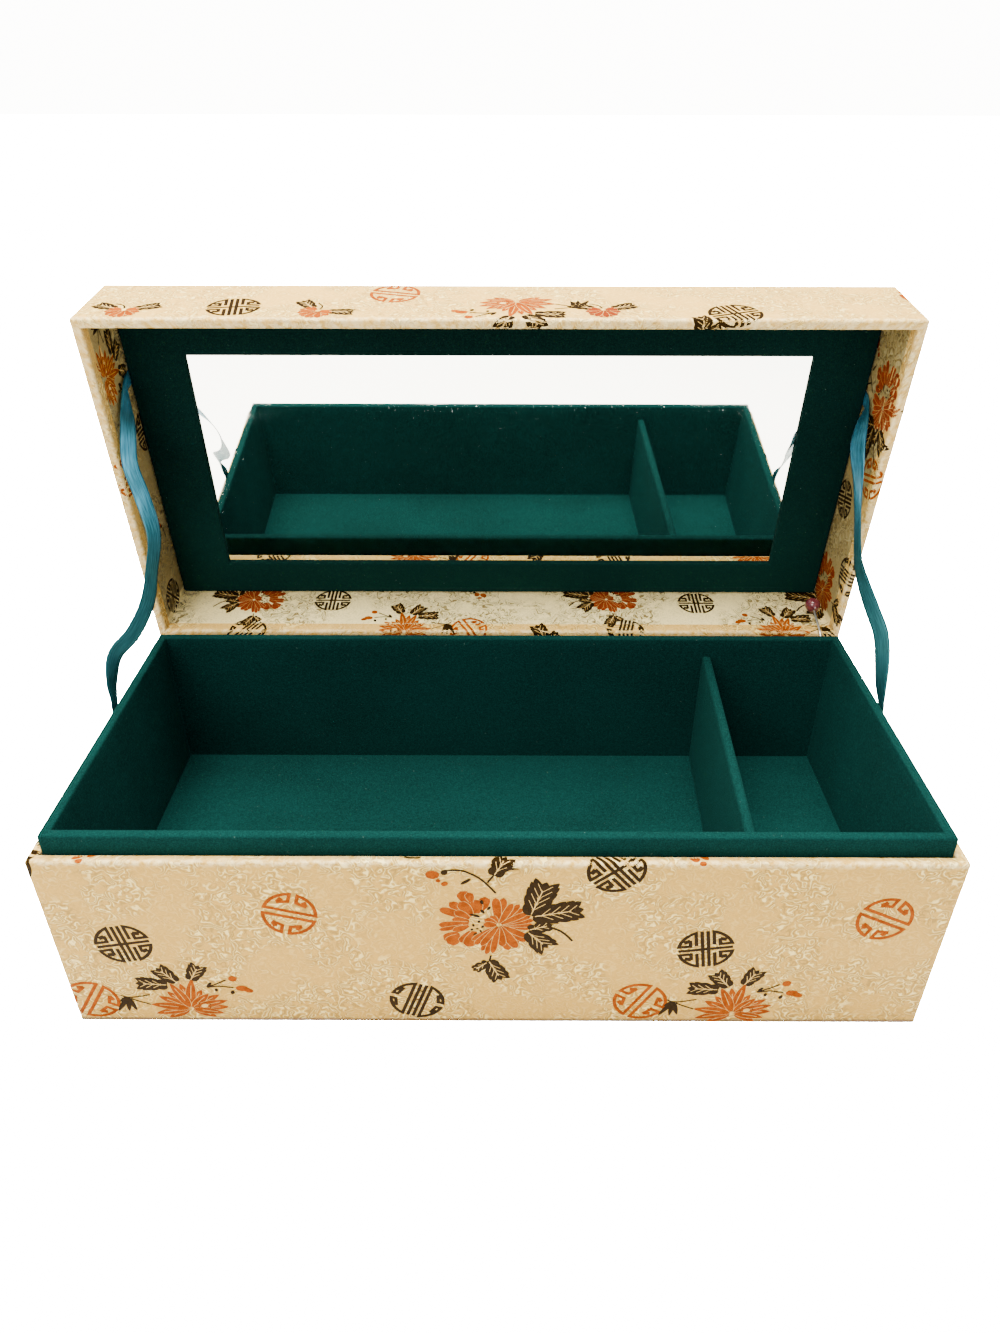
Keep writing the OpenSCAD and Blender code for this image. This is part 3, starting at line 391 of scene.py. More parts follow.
def wrap_mesh(name, wrap):
    """The cloth as a mesh in cells, closed round the box."""
    s = ring_stations()
    t = [wrap.profile.t[0]]
    for a, b in zip(wrap.profile.t[:-1], wrap.profile.t[1:]):
        count = max(1, int(round((b - a) / CLOTH_CELL)))
        t += list(a + (b - a) * (np.arange(count) + 1) / count)
    t = np.array(t)
    S, T = np.meshgrid(s, t)
    points = wrap.at(S, T).reshape(-1, 3)
    faces = grid_faces(len(t), len(s), close=True)
    # UVs by face corner, so that the join doesn't smear
    r, c = np.divmod(np.arange(len(faces)), len(s))
    back = np.where(s[c] > JOIN_S - 1e-6, AROUND, 0.0)
    s0, s1 = s[c] - back, np.append(s, s[0] + AROUND)[c + 1] - back
    uv = np.stack([np.stack([s0, t[r]], -1), np.stack([s1, t[r]], -1),
                   np.stack([s1, t[r + 1]], -1), np.stack([s0, t[r + 1]], -1)], axis=1)
    return sharp_by_angle(make_mesh(name, points, faces, uv.reshape(-1, 2)), FOLD_ANGLE)


# Base cloth: hem, outer face, rim, and the turned in strip
def base_profile():
    points = [(CLOTH, HEM), (0, HEM)]
    points += arc((EDGE_R, BASE_TOP - EDGE_R), EDGE_R, 180, 90, ROUND_STEPS)
    points += arc((WALL - EDGE_R, BASE_TOP - EDGE_R), EDGE_R, 90, 0, ROUND_STEPS)
    points += [(WALL, BASE_TOP - TURN_IN), (WALL - CLOTH, BASE_TOP - TURN_IN)]
    return Profile(points, start_at=-CLOTH)


base_wrap = Wrap(base_profile(), seed=3)
base_cloth = wrap_mesh("base_cloth", base_wrap)


def lid_from_ring(x, y, z):
    """A point of the shut lid, given from the box's middle, in its open place."""
    return lid_place(x, BOX_D / 2 - y, z)


# Lid cloth, drawn shut and placed open; its section starts inside, above the rim
def lid_profile():
    points = [(WALL - CLOTH, LID_RIM + TURN_IN), (WALL, LID_RIM + TURN_IN)]
    points += arc((WALL - EDGE_R, LID_RIM + EDGE_R), EDGE_R, 0, -90, ROUND_STEPS)
    points += arc((EDGE_R, LID_RIM + EDGE_R), EDGE_R, -90, -180, ROUND_STEPS)
    points += arc((EDGE_R, LID_H - EDGE_R), EDGE_R, 180, 90, ROUND_STEPS)
    points += [(WALL, LID_H)]
    return Profile(points, start_at=-(CLOTH + TURN_IN + WALL))


lid_wrap = Wrap(lid_profile(), place=lid_from_ring, seed=5)
lid_cloth = wrap_mesh("lid_cloth", lid_wrap)


def lining_profile():
    face = WALL + LINING_STEP
    points = [(face, TOP_IN), (face, LINING_LOW + LINING_HEM), (WALL, LINING_LOW)]
    return Profile(points, start_at=INNER_T - TOP_IN)


lining_wrap = Wrap(lining_profile(), place=lid_from_ring, seed=6, swell=LINING_SWELL)
lining_cloth = wrap_mesh("lid_lining_cloth", lining_wrap)


def lid_cloth_at(s, t, lift=0.0):
    """Where a point of the lid's cloth lies: on the lining above the turned in strip, else on the brocade."""
    s, t = np.broadcast_arrays(np.asarray(s, float), np.asarray(t, float))
    inner = (t < INNER_T - LINING_LOW)[..., None]
    return np.where(inner, lining_wrap.at(s, t, lift), lid_wrap.at(s, t, lift))


def lid_top_at(s, t, lift=0.0):
    """Where a point of the top's cloth lies, with t going on from the front wall."""
    s, t = np.broadcast_arrays(np.asarray(s, float), np.asarray(t, float))
    d = BOX_D - (t - TOP_T)
    edge = np.minimum(BOX_W / 2 - WALL - abs(s), np.minimum(d - WALL, BOX_D - WALL - d))
    swell = SWELL * waves(s, t, 8) * np.clip(edge / TURN_IN, 0, 1)
    return lid_place(s, d, LID_H + lift + swell)


def lid_top_mesh():
    s = np.linspace(WALL - BOX_W / 2, BOX_W / 2 - WALL, TOP_POINTS[0])
    t = TOP_T + np.linspace(WALL, BOX_D - WALL, TOP_POINTS[1])
    S, T = np.meshgrid(s, t)
    return grid_mesh("lid_top_cloth", lid_top_at(S, T), np.stack([S, T], axis=-1))


lid_top = lid_top_mesh()


# Hinge strip: one cloth from the base's back, round the hinge line's roll, to the lid's back
def hinge_mesh():
    """Its section lies flat on both backs and bends round the roll, and its edges are rounded."""
    low = [(HINGE_T * k, -LEAF_H + HINGE_EDGE * (1 - math.sqrt(1 - (1 - k) ** 2))) for k in (0, 0.4, 0.8, 1)]
    low += [(HINGE_T, z) for z in np.linspace(-LEAF_H + 2 * HINGE_EDGE, -1, 7)]
    meet = math.degrees(math.asin(HINGE_T / ROLL_R))
    lean = 90 - math.degrees(LID_OPEN)
    roll = arc((0, 0), ROLL_R, -90 + meet, lean - meet, 3)
    line = [(y, z) for y, z in low] + roll
    tilt = math.radians(lean)
    for out, h in [(o, -z) for o, z in reversed(low)]:
        # the lid's leaf runs out along the tilted back face, on its underside
        line.append((h * math.cos(tilt) + out * math.sin(tilt), h * math.sin(tilt) - out * math.cos(tilt)))
    line = np.array(line)
    base_side = np.array([(0.0, z) for _, z in low] + [(0.0, 0.0)] * len(roll))
    lid_side = np.array([(-z * math.cos(tilt), -z * math.sin(tilt)) for _, z in reversed(low)])
    seat = np.concatenate([base_side, lid_side])
    middle = np.linspace(-HINGE_HALF + HINGE_EDGE, HINGE_HALF - HINGE_EDGE, HINGE_COLUMNS)
    x = np.concatenate([[-HINGE_HALF], middle, [HINGE_HALF]])
    full = np.concatenate([[0.0], np.ones(HINGE_COLUMNS), [0.0]])[:, None, None]
    section = seat[None] + full * (line - seat)[None]
    run = length_along(line)
    points = np.stack([np.broadcast_to(x[:, None], section.shape[:2]), section[..., 0] + BOX_D / 2,
                       section[..., 1] + BASE_H], axis=-1)
    uv = np.stack(np.broadcast_arrays(-x[:, None], run[None]), axis=-1)
    faces = grid_faces(len(x), len(line))[:, ::-1]
    return make_mesh("hinge_strip", points.reshape(-1, 3), faces, uv.reshape(-1, 2))


hinge_strip = hinge_mesh()
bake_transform(hinge_strip)


# Felt covered boards
def rect_loop(x0, x1, y0, y1, r, steps=4):
    """Corners of a rectangle, each with steps + 1 points round a radius, anticlockwise."""
    out = []
    for cx, cy, a in [(x1, y0, -90), (x1, y1, 0), (x0, y1, 90), (x0, y0, 180)]:
        ox = cx - r if cx == x1 else cx + r
        oy = cy - r if cy == y1 else cy + r
        out += arc((ox, oy), r, a, a + 90, steps)
    return np.array(out)


def loops_mesh(name, loops, place=None):
    """Skins a list of (loop, z) rings."""
    count = len(loops[0][0])
    points = np.concatenate([np.column_stack([loop, np.full(count, float(z))]) for loop, z in loops])
    if place is not None:
        points = place(points)
    return make_mesh(name, points, grid_faces(len(loops), count, close=True))


def tray_mesh():
    """The tray's four walls: outside, over the rounded top edge and down the inside."""
    x = TRAY_W / 2
    loops = []

    def ring(inset, z, corner):
        loops.append((rect_loop(-x + inset, x - inset, TRAY_FRONT + inset, TRAY_REAR - inset, corner), z))

    ring(0.0, TRAY_FOOT, FELT_R)
    ring(0.0, TRAY_TOP - TURN_IN, FELT_R)
    for u, z in arc((FELT_R, TRAY_TOP - FELT_R), FELT_R, 180, 90, ROUND_STEPS):
        ring(u, z, max(FELT_R - u, 0.05))
    for u, z in arc((TRAY_WALL - FELT_R, TRAY_TOP - FELT_R), FELT_R, 90, 0, ROUND_STEPS):
        ring(u, z, FELT_IN_R)
    for z in np.linspace(TRAY_TOP - TURN_IN, FLOOR_TOP - 0.2, 8):
        ring(TRAY_WALL, z, FELT_IN_R)
    return sharp_by_angle(loops_mesh("tray_walls_felt", loops), FELT_ANGLE)


def floor_mesh():
    """The tray's floor, which turns up a little along the walls."""
    x0, y0, y1 = TRAY_W / 2 - TRAY_WALL, TRAY_FRONT + TRAY_WALL, TRAY_REAR - TRAY_WALL
    x, y = np.linspace(-x0, x0, 96), np.linspace(y0, y1, 42)
    X, Y = np.meshgrid(x, y)
    edge = np.minimum(x0 - abs(X), np.minimum(Y - y0, y1 - Y))
    lie = SWELL * waves(X, Y, 11) * np.clip(edge / FLOOR_HELD, 0, 1)
    turn_up = FLOOR_TURN_UP * np.clip(1 - edge / FLOOR_TURN_REACH, 0, 1)
    Z = FLOOR_TOP - FELT_SEAM + lie + turn_up
    return grid_mesh("tray_floor_felt", np.stack([X, Y, Z], -1))


def divider_mesh():
    """The slanted divider, with straight sides and a rounded top, a little uneven along its length."""
    y0, y1 = TRAY_FRONT + TRAY_WALL, TRAY_REAR - TRAY_WALL
    half = DIVIDER_T / 2 / math.cos(DIVIDER_SLANT)
    side = [FLOOR_TOP, FLOOR_TOP + DIVIDER_STRAIGHT[0], DIVIDER_TOP - DIVIDER_STRAIGHT[1]]
    round_z = DIVIDER_TOP - DIVIDER_R
    section = [(-half, z) for z in side]
    section += arc((-half + DIVIDER_R, round_z), DIVIDER_R, 180, 90, ROUND_STEPS)
    section += arc((half - DIVIDER_R, round_z), DIVIDER_R, 90, 0, ROUND_STEPS)
    section += [(half, z) for z in reversed(side)]
    u, z = np.array(section).T
    y = np.linspace(y0, y1, 40)[:, None]
    bow = DIVIDER_BOW * waves(y, z[None], 14) * np.sign(u)[None]
    x = DIVIDER_X + math.tan(DIVIDER_SLANT) * (y - (y0 + y1) / 2) + u[None] + bow
    return grid_mesh("tray_divider_felt", np.stack(np.broadcast_arrays(x, y, z[None]), -1))


def mat_mesh():
    """The felt mat round the mirror: a flat frame with rolled edges, set in the lid."""
    d0 = WALL + MAT_GAP
    x_out, x_in = MAT_W / 2, WINDOW_W / 2
    d_in = WINDOW_FROM_HINGE
    r = MAT_R
    t = GLASS_H - MAT_H
    loops = []

    def ring(share, depth, grow):
        # share goes from the outer edge to the window, depth from the face towards the glass
        w = x_out + (x_in - x_out) * share + grow
        lo = d0 + (d_in - d0) * share - grow
        hi = d0 + MAT_D + (d_in + WINDOW_D - d0 - MAT_D) * share + grow
        loops.append((rect_loop(-w, w, lo, hi, MAT_CORNER, 2), MAT_H + depth))

    ring(0, t, 0)
    for u, z in arc((r, r), r, 180, 270, 4):
        ring(0, z, -u)
    for share in (0.25, 0.5, 0.75):
        ring(share, 0, 0)
    for u, z in arc((0, r), r, 270, 360, 4):
        ring(1, z, r - u)
    ring(1, t, 0)
    return sharp_by_angle(loops_mesh("mirror_mat_felt", loops, lambda p: lid_place(*p.T)), FELT_ANGLE)


tray_felt = tray_mesh()
floor_felt = floor_mesh()
divider_felt = divider_mesh()
mat_felt = mat_mesh()


# Woven motifs, drawn in millimetres round their middle: each strip of thread is its colour, a line along its
# middle, how far its left and right sides lie from it, and how many points it has across
THREAD_STEP = 0.7
OUTLINE = 0.13
VEIN_W = 0.2
MIDRIB_W = 0.34
PETAL_START = 0.9
TOOTH_ANGLE = 36
TOOTH_BEND = 24
VEIN_ANGLE = math.radians(38)
VEIN_SHARE = 0.62
FRET_W = 1.25
FRET_X = 9.2
FRET_Y = 8.7
COLOURS = ("dark", "orange", "red", "pale")
# Threads lie so far above the cloth, each layer of a motif a little more, and less where the box presses them
LIFT = {"dark": 0.062, "orange": 0.061, "red": 0.061, "pale": 0.06}
DARK_SAG = 0.03
LAYER = 0.002
FLATTENED = 0.5
SMALLEST_FACE = 1e-3


def resampled(points):
    """The line through the points, even along its length, with its corners kept."""
    p = np.array(points, float)
    out = [p[:1]]
    for a, b in zip(p[:-1], p[1:]):
        count = max(1, int(round(np.linalg.norm(b - a) / THREAD_STEP)))
        out.append(a + (b - a) * (np.arange(1, count + 1) / count)[:, None])
    return np.concatenate(out)


def normals(line):
    """Directions to the left of a line, lengthened at its corners so that strips keep their width."""
    d = unit(np.diff(line, axis=0))
    d = np.concatenate([d[:1], d, d[-1:]])
    n = np.stack([-d[:, 1], d[:, 0]], axis=1)
    mid = unit(n[:-1] + n[1:] + 1e-9)
    return mid / np.maximum(np.sum(mid * n[1:], axis=1), 0.6)[:, None]


def stroke(colour, points, width, curved=False):
    """A drawn line of one width; a curved one runs smoothly through its points."""
    line = resampled(smooth_through(points, 4) if curved else points)
    half = np.full(len(line), width / 2)
    return (colour, line, -half, half, 3)


def finger(colour, base, angle, length, width, start=0.0, bend=0.0, round_tip=True):
    """A petal's lobe or a leaf's blade: narrow at its base, widest past the middle, bent by some degrees."""
    count = max(6, int(length / THREAD_STEP))
    u = np.linspace(0, 1, count)
    a = np.radians(angle + bend * (u - 0.5))
    step = length / (count - 1)
    ways = np.stack([np.cos(a[:-1]), np.sin(a[:-1])], 1)
    way = np.array([math.cos(math.radians(angle)), math.sin(math.radians(angle))])
    line = np.array(base) + start * way + np.concatenate([np.zeros((1, 2)), np.cumsum(ways, axis=0)]) * step
    if round_tip:
        widening = 0.4 + 0.6 * np.sin(math.pi / 2 * np.clip(u / 0.6, 0, 1))
        half = width / 2 * widening * np.sqrt(np.clip(1 - np.clip((u - 0.72) / 0.28, 0, 1) ** 2, 0, 1))
    else:
        half = width / 2 * np.sin(math.pi * u ** 0.8) ** 0.7
    half = np.maximum(half, 0.02)
    return (colour, line, -half, half, 5 if width > 2.4 else 3)


def edged(strip):
    """The strip with a light outline under it, which parts it from the ones below."""
    colour, line, left, right, across = strip
    return [("pale", line, left - OUTLINE, right + OUTLINE, across), strip]


def petal(colour, base, angle, length, width, lobes):
    """A scalloped petal: lobes side by side, with a light vein left between them."""
    out = []
    for k in range(lobes):
        share = (k - (lobes - 1) / 2) / lobes
        fan = math.degrees(math.atan2(share * width * 0.95, length * 0.72))
        reach = length * (1 - 0.22 * abs(share))
        wide = width / lobes * 1.34
        out += edged(finger(colour, base, angle + fan, reach - PETAL_START, wide, PETAL_START))
    return out


def blade(colour, base, angle, length, width, start, bend):
    """A pointed petal with a light outline and a light vein."""
    out = edged(finger(colour, base, angle, length - start, width, start, bend, False))
    line = out[1][1]
    out.append(stroke("pale", line[int(len(line) * 0.3):int(len(line) * 0.8)], VEIN_W))
    return out


def leaf(colour, base, angle, length, width, pairs):
    """A serrated leaf: pointed teeth on both sides, a light midrib and light side veins."""
    c, s = math.cos(math.radians(angle)), math.sin(math.radians(angle))

    def along(x, y=0.0):
        return (base[0] + x * c - y * s, base[1] + x * s + y * c)

    out, veins = [], [stroke("pale", [along(0.06 * length), along(0.8 * length)], MIDRIB_W)]
    tooth_w = length / pairs * 0.98
    for k in range(pairs):
        u = (k + 0.1) / (pairs + 0.4)
        half = width / 2 * math.sin(math.pi * (0.2 + 0.7 * u)) ** 0.7
        reach = half / math.sin(math.radians(TOOTH_ANGLE)) * 1.12
        for side in (-1, 1):
            start = along(u * length, side * 0.1)
            turn = angle + side * TOOTH_ANGLE
            out.append(finger(colour, start, turn, reach, tooth_w, 0, -side * TOOTH_BEND, False))
            if k:
                vein = VEIN_SHARE * reach
                tip = along(u * length + vein * math.cos(VEIN_ANGLE), side * vein * math.sin(VEIN_ANGLE))
                veins.append(stroke("pale", [start, tip], VEIN_W))
    out.append(finger(colour, along(0.62 * length), angle, 0.44 * length, 0.26 * length, 0, 0, False))
    return out + veins


def dot(colour, x, y, width, height, turn):
    """A small oval of thread."""
    c, k = math.cos(math.radians(turn)), math.sin(math.radians(turn))
    u = np.linspace(-1, 1, 9)
    line = np.stack([x + u * width / 2 * c, y + u * width / 2 * k], 1)
    half = np.maximum(height / 2 * np.sqrt(1 - u ** 2), 0.03)
    return (colour, line, -half, half, 5)


def dots(colour, ovals):
    """Ovals of one colour, each with its place, width, height and turn."""
    return [dot(colour, *oval) for oval in ovals]


def leaves(shapes):
    """Dark leaves, each with its base, angle, length, width and pairs of teeth."""
    return [strip for shape in shapes for strip in leaf("dark", *shape)]


def fret(colour, bars, cross):
    """A round fret, a traditional ornament: bars down the middle, halves or quarters with hooks turned in."""
    def rim(deg):
        return (FRET_X * math.cos(math.radians(deg)), FRET_Y * math.sin(math.radians(deg)))

    out = []
    chord = 3.0 if bars else 1.35
    if bars:
        out += [stroke(colour, [(x, -FRET_Y), (x, FRET_Y)], FRET_W) for x in (-1.0, 1.0)]
        if not cross:
            out += [stroke(colour, [(-1.0, y), (1.0, y)], 0.6) for y in (-4.6, 0.4, 5.2)]
    if cross:
        out.append(stroke(colour, [(-FRET_X, 0), (FRET_X, 0)], FRET_W))
    top = math.degrees(math.acos(chord / FRET_X))
    low, end = (1.9, 13) if cross else (0.0, 9)
    outline = [(chord, low), (chord, rim(top)[1])] + [rim(a) for a in np.linspace(top, end, 9)][1:]
    if cross:
        outline += [(5.0, rim(end)[1]), (5.0, 4.8)]
        hook = [(5.0, 4.6), (7.2, 3.9)]
    else:
        outline += [(chord + 4.4, rim(end)[1]), (chord + 3.2, 5.0)]
        hook = [(chord + 3.3, 4.7), (chord + 5.4, 3.6)]
    for sx in (-1, 1):
        for sy in (-1, 1):
            out.append(stroke(colour, [(sx * x, sy * y) for x, y in outline], FRET_W))
            out.append(stroke(colour, [(sx * x, sy * y) for x, y in hook], FRET_W * 1.3))
    return out


def peony(petals="orange"):
    """Two overlapping blooms with a bud above and serrated leaves beside them."""
    right, left = (3.9, -2.2), (-2.8, -1.2)
    out = []
    for angle, length, width, start in [
            (80, 12.2, 2.6, 6.0), (99, 10.8, 3.4, 4.4), (112, 15.6, 3.0, 9.6), (104, 14.4, 2.0, 9.8),
            (136, 13.4, 2.6, 3.8), (124, 11.4, 2.6, 4.2), (154, 14.4, 2.3, 4.4), (147, 9.6, 2.0, 3.6),
            (169, 9.0, 2.2, 3.2), (184, 13.4, 2.2, 3.4), (194, 13.8, 1.3, 5.2), (203, 9.6, 1.8, 3.6),
            (215, 14.4, 3.2, 8.4), (223, 14.6, 3.2, 8.8), (236, 11.4, 2.2, 5.0), (250, 12.2, 3.0, 4.4)]:
        bend = 14 if angle < 160 else -14
        out += edged(finger(petals, left, angle, length - start, width * 1.45, start, bend))
    for shape in [
            (89, 13.4, 4.4, 2), (55, 11.8, 5.2, 3), (11, 11.8, 8.2, 5), (-42, 12.0, 5.4, 3),
            (-68, 13.4, 4.8, 2), (-90, 11.0, 4.2, 2), (-107, 15.0, 4.8, 3), (-131, 12.6, 5.0, 3),
            (150, 5.6, 6.4, 3)]:
        out += petal(petals, right, *shape)
    out += dots("dark", [
        (-1.7, 8.4, 2.0, 1.2, 100), (0.6, 5.6, 1.8, 1.0, 60), (-1.5, 4.1, 2.2, 1.1, 120),
        (-4.0, 2.2, 3.8, 1.1, 160), (-2.7, -0.6, 1.3, 0.9, 70), (-4.6, -2.4, 1.3, 0.9, 110),
        (-1.5, -3.0, 1.5, 0.9, 60), (-5.1, -4.4, 1.1, 0.9, 40), (-4.0, -6.6, 1.5, 1.0, 30),
        (-2.1, -5.3, 1.4, 0.8, 120), (-3.3, -4.0, 1.0, 0.7, 0)])
    out += dots(petals, [(-17.4, 20.6, 3.8, 4.4, 90), (-13.6, 16.6, 2.4, 1.9, 20), (-15.6, 18, 1.6, 1.5, 0)])
    stem = [(-13.6, 22.4), (-10.0, 22.6), (-6.9, 22.0), (-1.9, 18.7), (2.9, 12.5)]
    out.append(stroke("dark", stem, 0.7, True))
    out += dots("dark", [(-13.6, 21.6, 2.4, 2.2, 60), (-6.8, 17.6, 4.2, 1.2, 36)])
    out.append(stroke("dark", [(0.2, 17.2), (2.3, 20.6)], 0.7))
    out += leaves([((2.2, 20.2), 62, 8.4, 5.6, 3)])
    out += [finger("dark", (4.2, 22.0), 8 + k * 14, 6.4 - k, 1.0, 0, -40, False) for k in range(3)]
    out += leaves([((14.3, 2.0), 72, 15.4, 8.6, 5), ((14.8, 1.6), 12, 16.4, 7.8, 5)])
    out += [finger("dark", (15.0, 0.6), -12 - k * 9, 9.4 - 1.5 * k, 1.2, 0, 12, False) for k in range(2)]
    out += leaves([((13.4, -5.4), -48, 10.0, 7.4, 4), ((13.8, -4.6), 18, 8.0, 4.0, 3)])
    out.append(stroke("dark", [(18.6, -2.2), (24.6, -5.2), (28.6, -9.8)], 0.8, True))
    out.append(stroke("dark", [(1.2, -17.0), (0.6, -20.6)], 0.7))
    out += leaves([((0.4, -19.6), -66, 10.4, 6.0, 4), ((0.0, -20.4), 222, 6.4, 3.0, 3)])
    return out


def aster():
    """A flower with fanned, pointed petals, three leaves above and twigs with small buds at both sides."""
    base = (-0.8, -7.4)
    out = []
    for angle, length, width in [
            (210, 10.0, 3.4), (-28, 9.6, 3.2), (128, 11.6, 3.6), (98, 13.6, 3.8), (62, 11.4, 3.6),
            (34, 13.4, 3.6), (192, 13.4, 3.4), (148, 12.4, 3.8), (80, 16.2, 3.6), (4, 13.6, 3.8),
            (171, 14.2, 3.8), (112, 14.6, 3.6), (47, 10.8, 3.4), (18, 14.4, 3.4), (-12, 11.6, 3.2)]:
        out += blade("orange", base, angle, length, width, 0.8, 8 if angle > 90 else -8)
    out += [dot("dark", 4.2 + 2.3 * math.cos(a), -5.8 + 1.7 * math.sin(a), 1.3, 0.9, math.degrees(a) + 90)
            for a in np.linspace(0.4, 5.6, 6)]
    out.append(dot("pale", 4.2, -5.8, 2.6, 1.9, 20))
    out += leaves([((-7.0, 5.2), 176, 10.6, 5.6, 4), ((-3.6, 6.6), 128, 9.0, 5.4, 4),
                   ((1.4, 7.6), 62, 8.4, 5.4, 4)])
    out += [stroke("dark", twig, 0.6, True) for twig in [
        [(6.4, 4.4), (9.4, 5.4), (13.8, 8.0)], [(6.6, 4.0), (11.0, 4.6), (15.8, 3.8)]]]
    out += dots("dark", [(7.6, 5.6, 2.6, 1.1, 50), (9.6, 2.6, 1.7, 1.2, 80), (15.2, 1.4, 2.2, 1.4, 70)])
    out += dots("orange", [(16.2, 8.6, 3.2, 2.8, 20), (18.8, 3.6, 3.0, 4.4, 90), (20.8, 2.6, 2.4, 3.8, 70)])
    out += [stroke("dark", twig, 0.6, True) for twig in [
        [(-24.6, -0.2), (-22.4, -1.4), (-18.4, -1.0), (-14.2, 0.0)],
        [(-21.4, -2.0), (-18.4, -3.6), (-14.8, -5.2)]]]
    out += [finger("dark", (-22.0, -1.4), angle, length, 1.9, 0, 10, False) for angle, length in [
        (236, 9.0), (262, 7.6), (284, 7.2), (214, 4.2)]]
    return out


def bud_sprig():
    """Three orange buds on a short dark stem."""
    out = dots("orange", [(-1.4, 0.6, 4.2, 3.2, 60), (2.0, 1.2, 3.4, 2.8, 110), (0.4, -1.8, 2.4, 1.6, 0)])
    out.append(stroke("dark", [(3.0, 2.8), (6.6, 4.6), (11.0, 5.0)], 0.6, True))
    out.append(dot("dark", 3.2, 3.0, 2.4, 1.5, 40))
    return out


def rosette(colour):
    """A small flower seen from its side, with leaves, as on the lid's rim."""
    out = []
    for shape in [(150, 7.0, 3.6, 2), (118, 8.0, 3.6, 2), (88, 8.4, 3.4, 2), (58, 8.0, 3.6, 2),
                  (28, 7.2, 3.6, 2), (190, 5.4, 2.8, 1), (-8, 5.6, 2.8, 1)]:
        out += petal(colour, (0.0, -3.2), *shape)
    out += [dot("dark", 1.8 * math.cos(a), -2.6 + 1.2 * math.sin(a), 1.1, 0.7, math.degrees(a))
            for a in (0.4, 1.2, 2.0, 2.8)]
    out += leaves([((-3.4, -4.4), 205, 9.0, 5.0, 4), ((3.4, -4.4), -28, 8.6, 5.0, 4)])
    out.append(stroke("dark", [(0.2, -4.6), (1.4, -7.6), (4.6, -9.6)], 0.6, True))
    return out


MOTIFS = {
    "peony": peony(), "red peony": peony("red"), "aster": aster(), "buds": bud_sprig(),
    "rosette": rosette("orange"), "red rosette": rosette("red"),
    "dark cross": fret("dark", True, True), "dark bars": fret("dark", True, False),
    "dark halves": fret("dark", False, False), "orange halves": fret("orange", False, False),
}
# How far each motif reaches from its middle, the frets less than the others
MOTIF_REACH = {"peony": 30.0, "red peony": 30.0, "aster": 26.0, "buds": 11.0, "rosette": 12.0,
               "red rosette": 12.0}
FRET_REACH = 9.6
THREAD_PIECES = []


class MotifCloth:
    """Motifs of one cloth, gathered by colour, cut off at the cloth's edges and flat in its pressed range."""

    def __init__(self, at, s_range, t_range, pressed):
        self.at, self.pressed = at, pressed
        self.low, self.high = (s_range[0], t_range[0]), (s_range[1], t_range[1])
        self.made = {c: ([], [], []) for c in COLOURS}
        self.count = dict.fromkeys(COLOURS, 0)

    def add(self, name, s, t, turn=0.0, size=1.0, mirrored=False):
        """Lays a motif with its middle at s, t."""
        c, k = math.cos(math.radians(turn)) * size, math.sin(math.radians(turn)) * size
        layer, before = 0.0, "pale"
        for colour, line, left, right, across in MOTIFS[name]:
            layer += LAYER if colour == "pale" and before != "pale" else 0.0
            before = colour
            side = normals(line)
            share = np.linspace(0, 1, across)
            off = left[:, None] + (right - left)[:, None] * share[None]
            p = line[:, None] + side[:, None] * off[..., None]
            if mirrored:
                p = p[:, ::-1] * (-1, 1)
            flat = np.stack([s + c * p[..., 0] - k * p[..., 1], t + k * p[..., 0] + c * p[..., 1]], -1)
            held = np.clip(flat, self.low, self.high)
            faces = grid_faces(len(line), across)
            q = held.reshape(-1, 2)[faces]
            d1, d2 = q[:, 2] - q[:, 0], q[:, 3] - q[:, 1]
            faces = faces[np.abs(d1[:, 0] * d2[:, 1] - d1[:, 1] * d2[:, 0]) > SMALLEST_FACE]
            if not len(faces):
                continue
            # dark threads lie deepest at their sides, so that the leaves have no step at their edges
            sag = DARK_SAG if colour == "dark" else 0.0
            lift = LIFT[colour] + layer - sag * np.abs(2 * share - 1) ** 2
            # on the rim, and inside beside the tray, they are pressed flat when the box is shut
            rim = (held[..., 1] > self.pressed[0]) & (held[..., 1] < self.pressed[1])
            lift = lift * np.where(rim, FLATTENED, 1.0)
            points, all_faces, uv = self.made[colour]
            points.append(self.at(held[..., 0], held[..., 1], lift).reshape(-1, 3))
            uv.append(held.reshape(-1, 2))
            all_faces.append(faces + self.count[colour])
            self.count[colour] += held.shape[0] * held.shape[1]

    def meshes(self, name, body):
        """Makes one piece of each colour's threads, which rides on the body."""
        for colour in COLOURS:
            points, faces, uv = self.made[colour]
            if faces:
                piece = make_mesh(f"{name}_{colour}_thread", np.concatenate(points), np.concatenate(faces),
                                  np.concatenate(uv))
                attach(piece, body)
                THREAD_PIECES.append((piece, colour))


# The cloth's repeat, where no photograph shows it: motif, s, t and turn
REPEAT = (195.7, -1.3)
REPEAT_UP = 79.0
REPEAT_MOTIFS = [
    ("peony", -3.4, 51.8, 0), ("aster", 84.6, 12.2, 0), ("dark cross", 70.5, 38.1, 8),
    ("dark bars", -28.4, 11.3, -19), ("dark cross", 38.0, 73.8, 40), ("orange halves", -68.6, 54.3, 75),
    ("orange halves", 50.4, 11.1, -30), ("buds", 64.8, 78.0, 0)]
KEPT_APART = 0.95


def reach_of(name):
    return MOTIF_REACH.get(name, FRET_REACH)


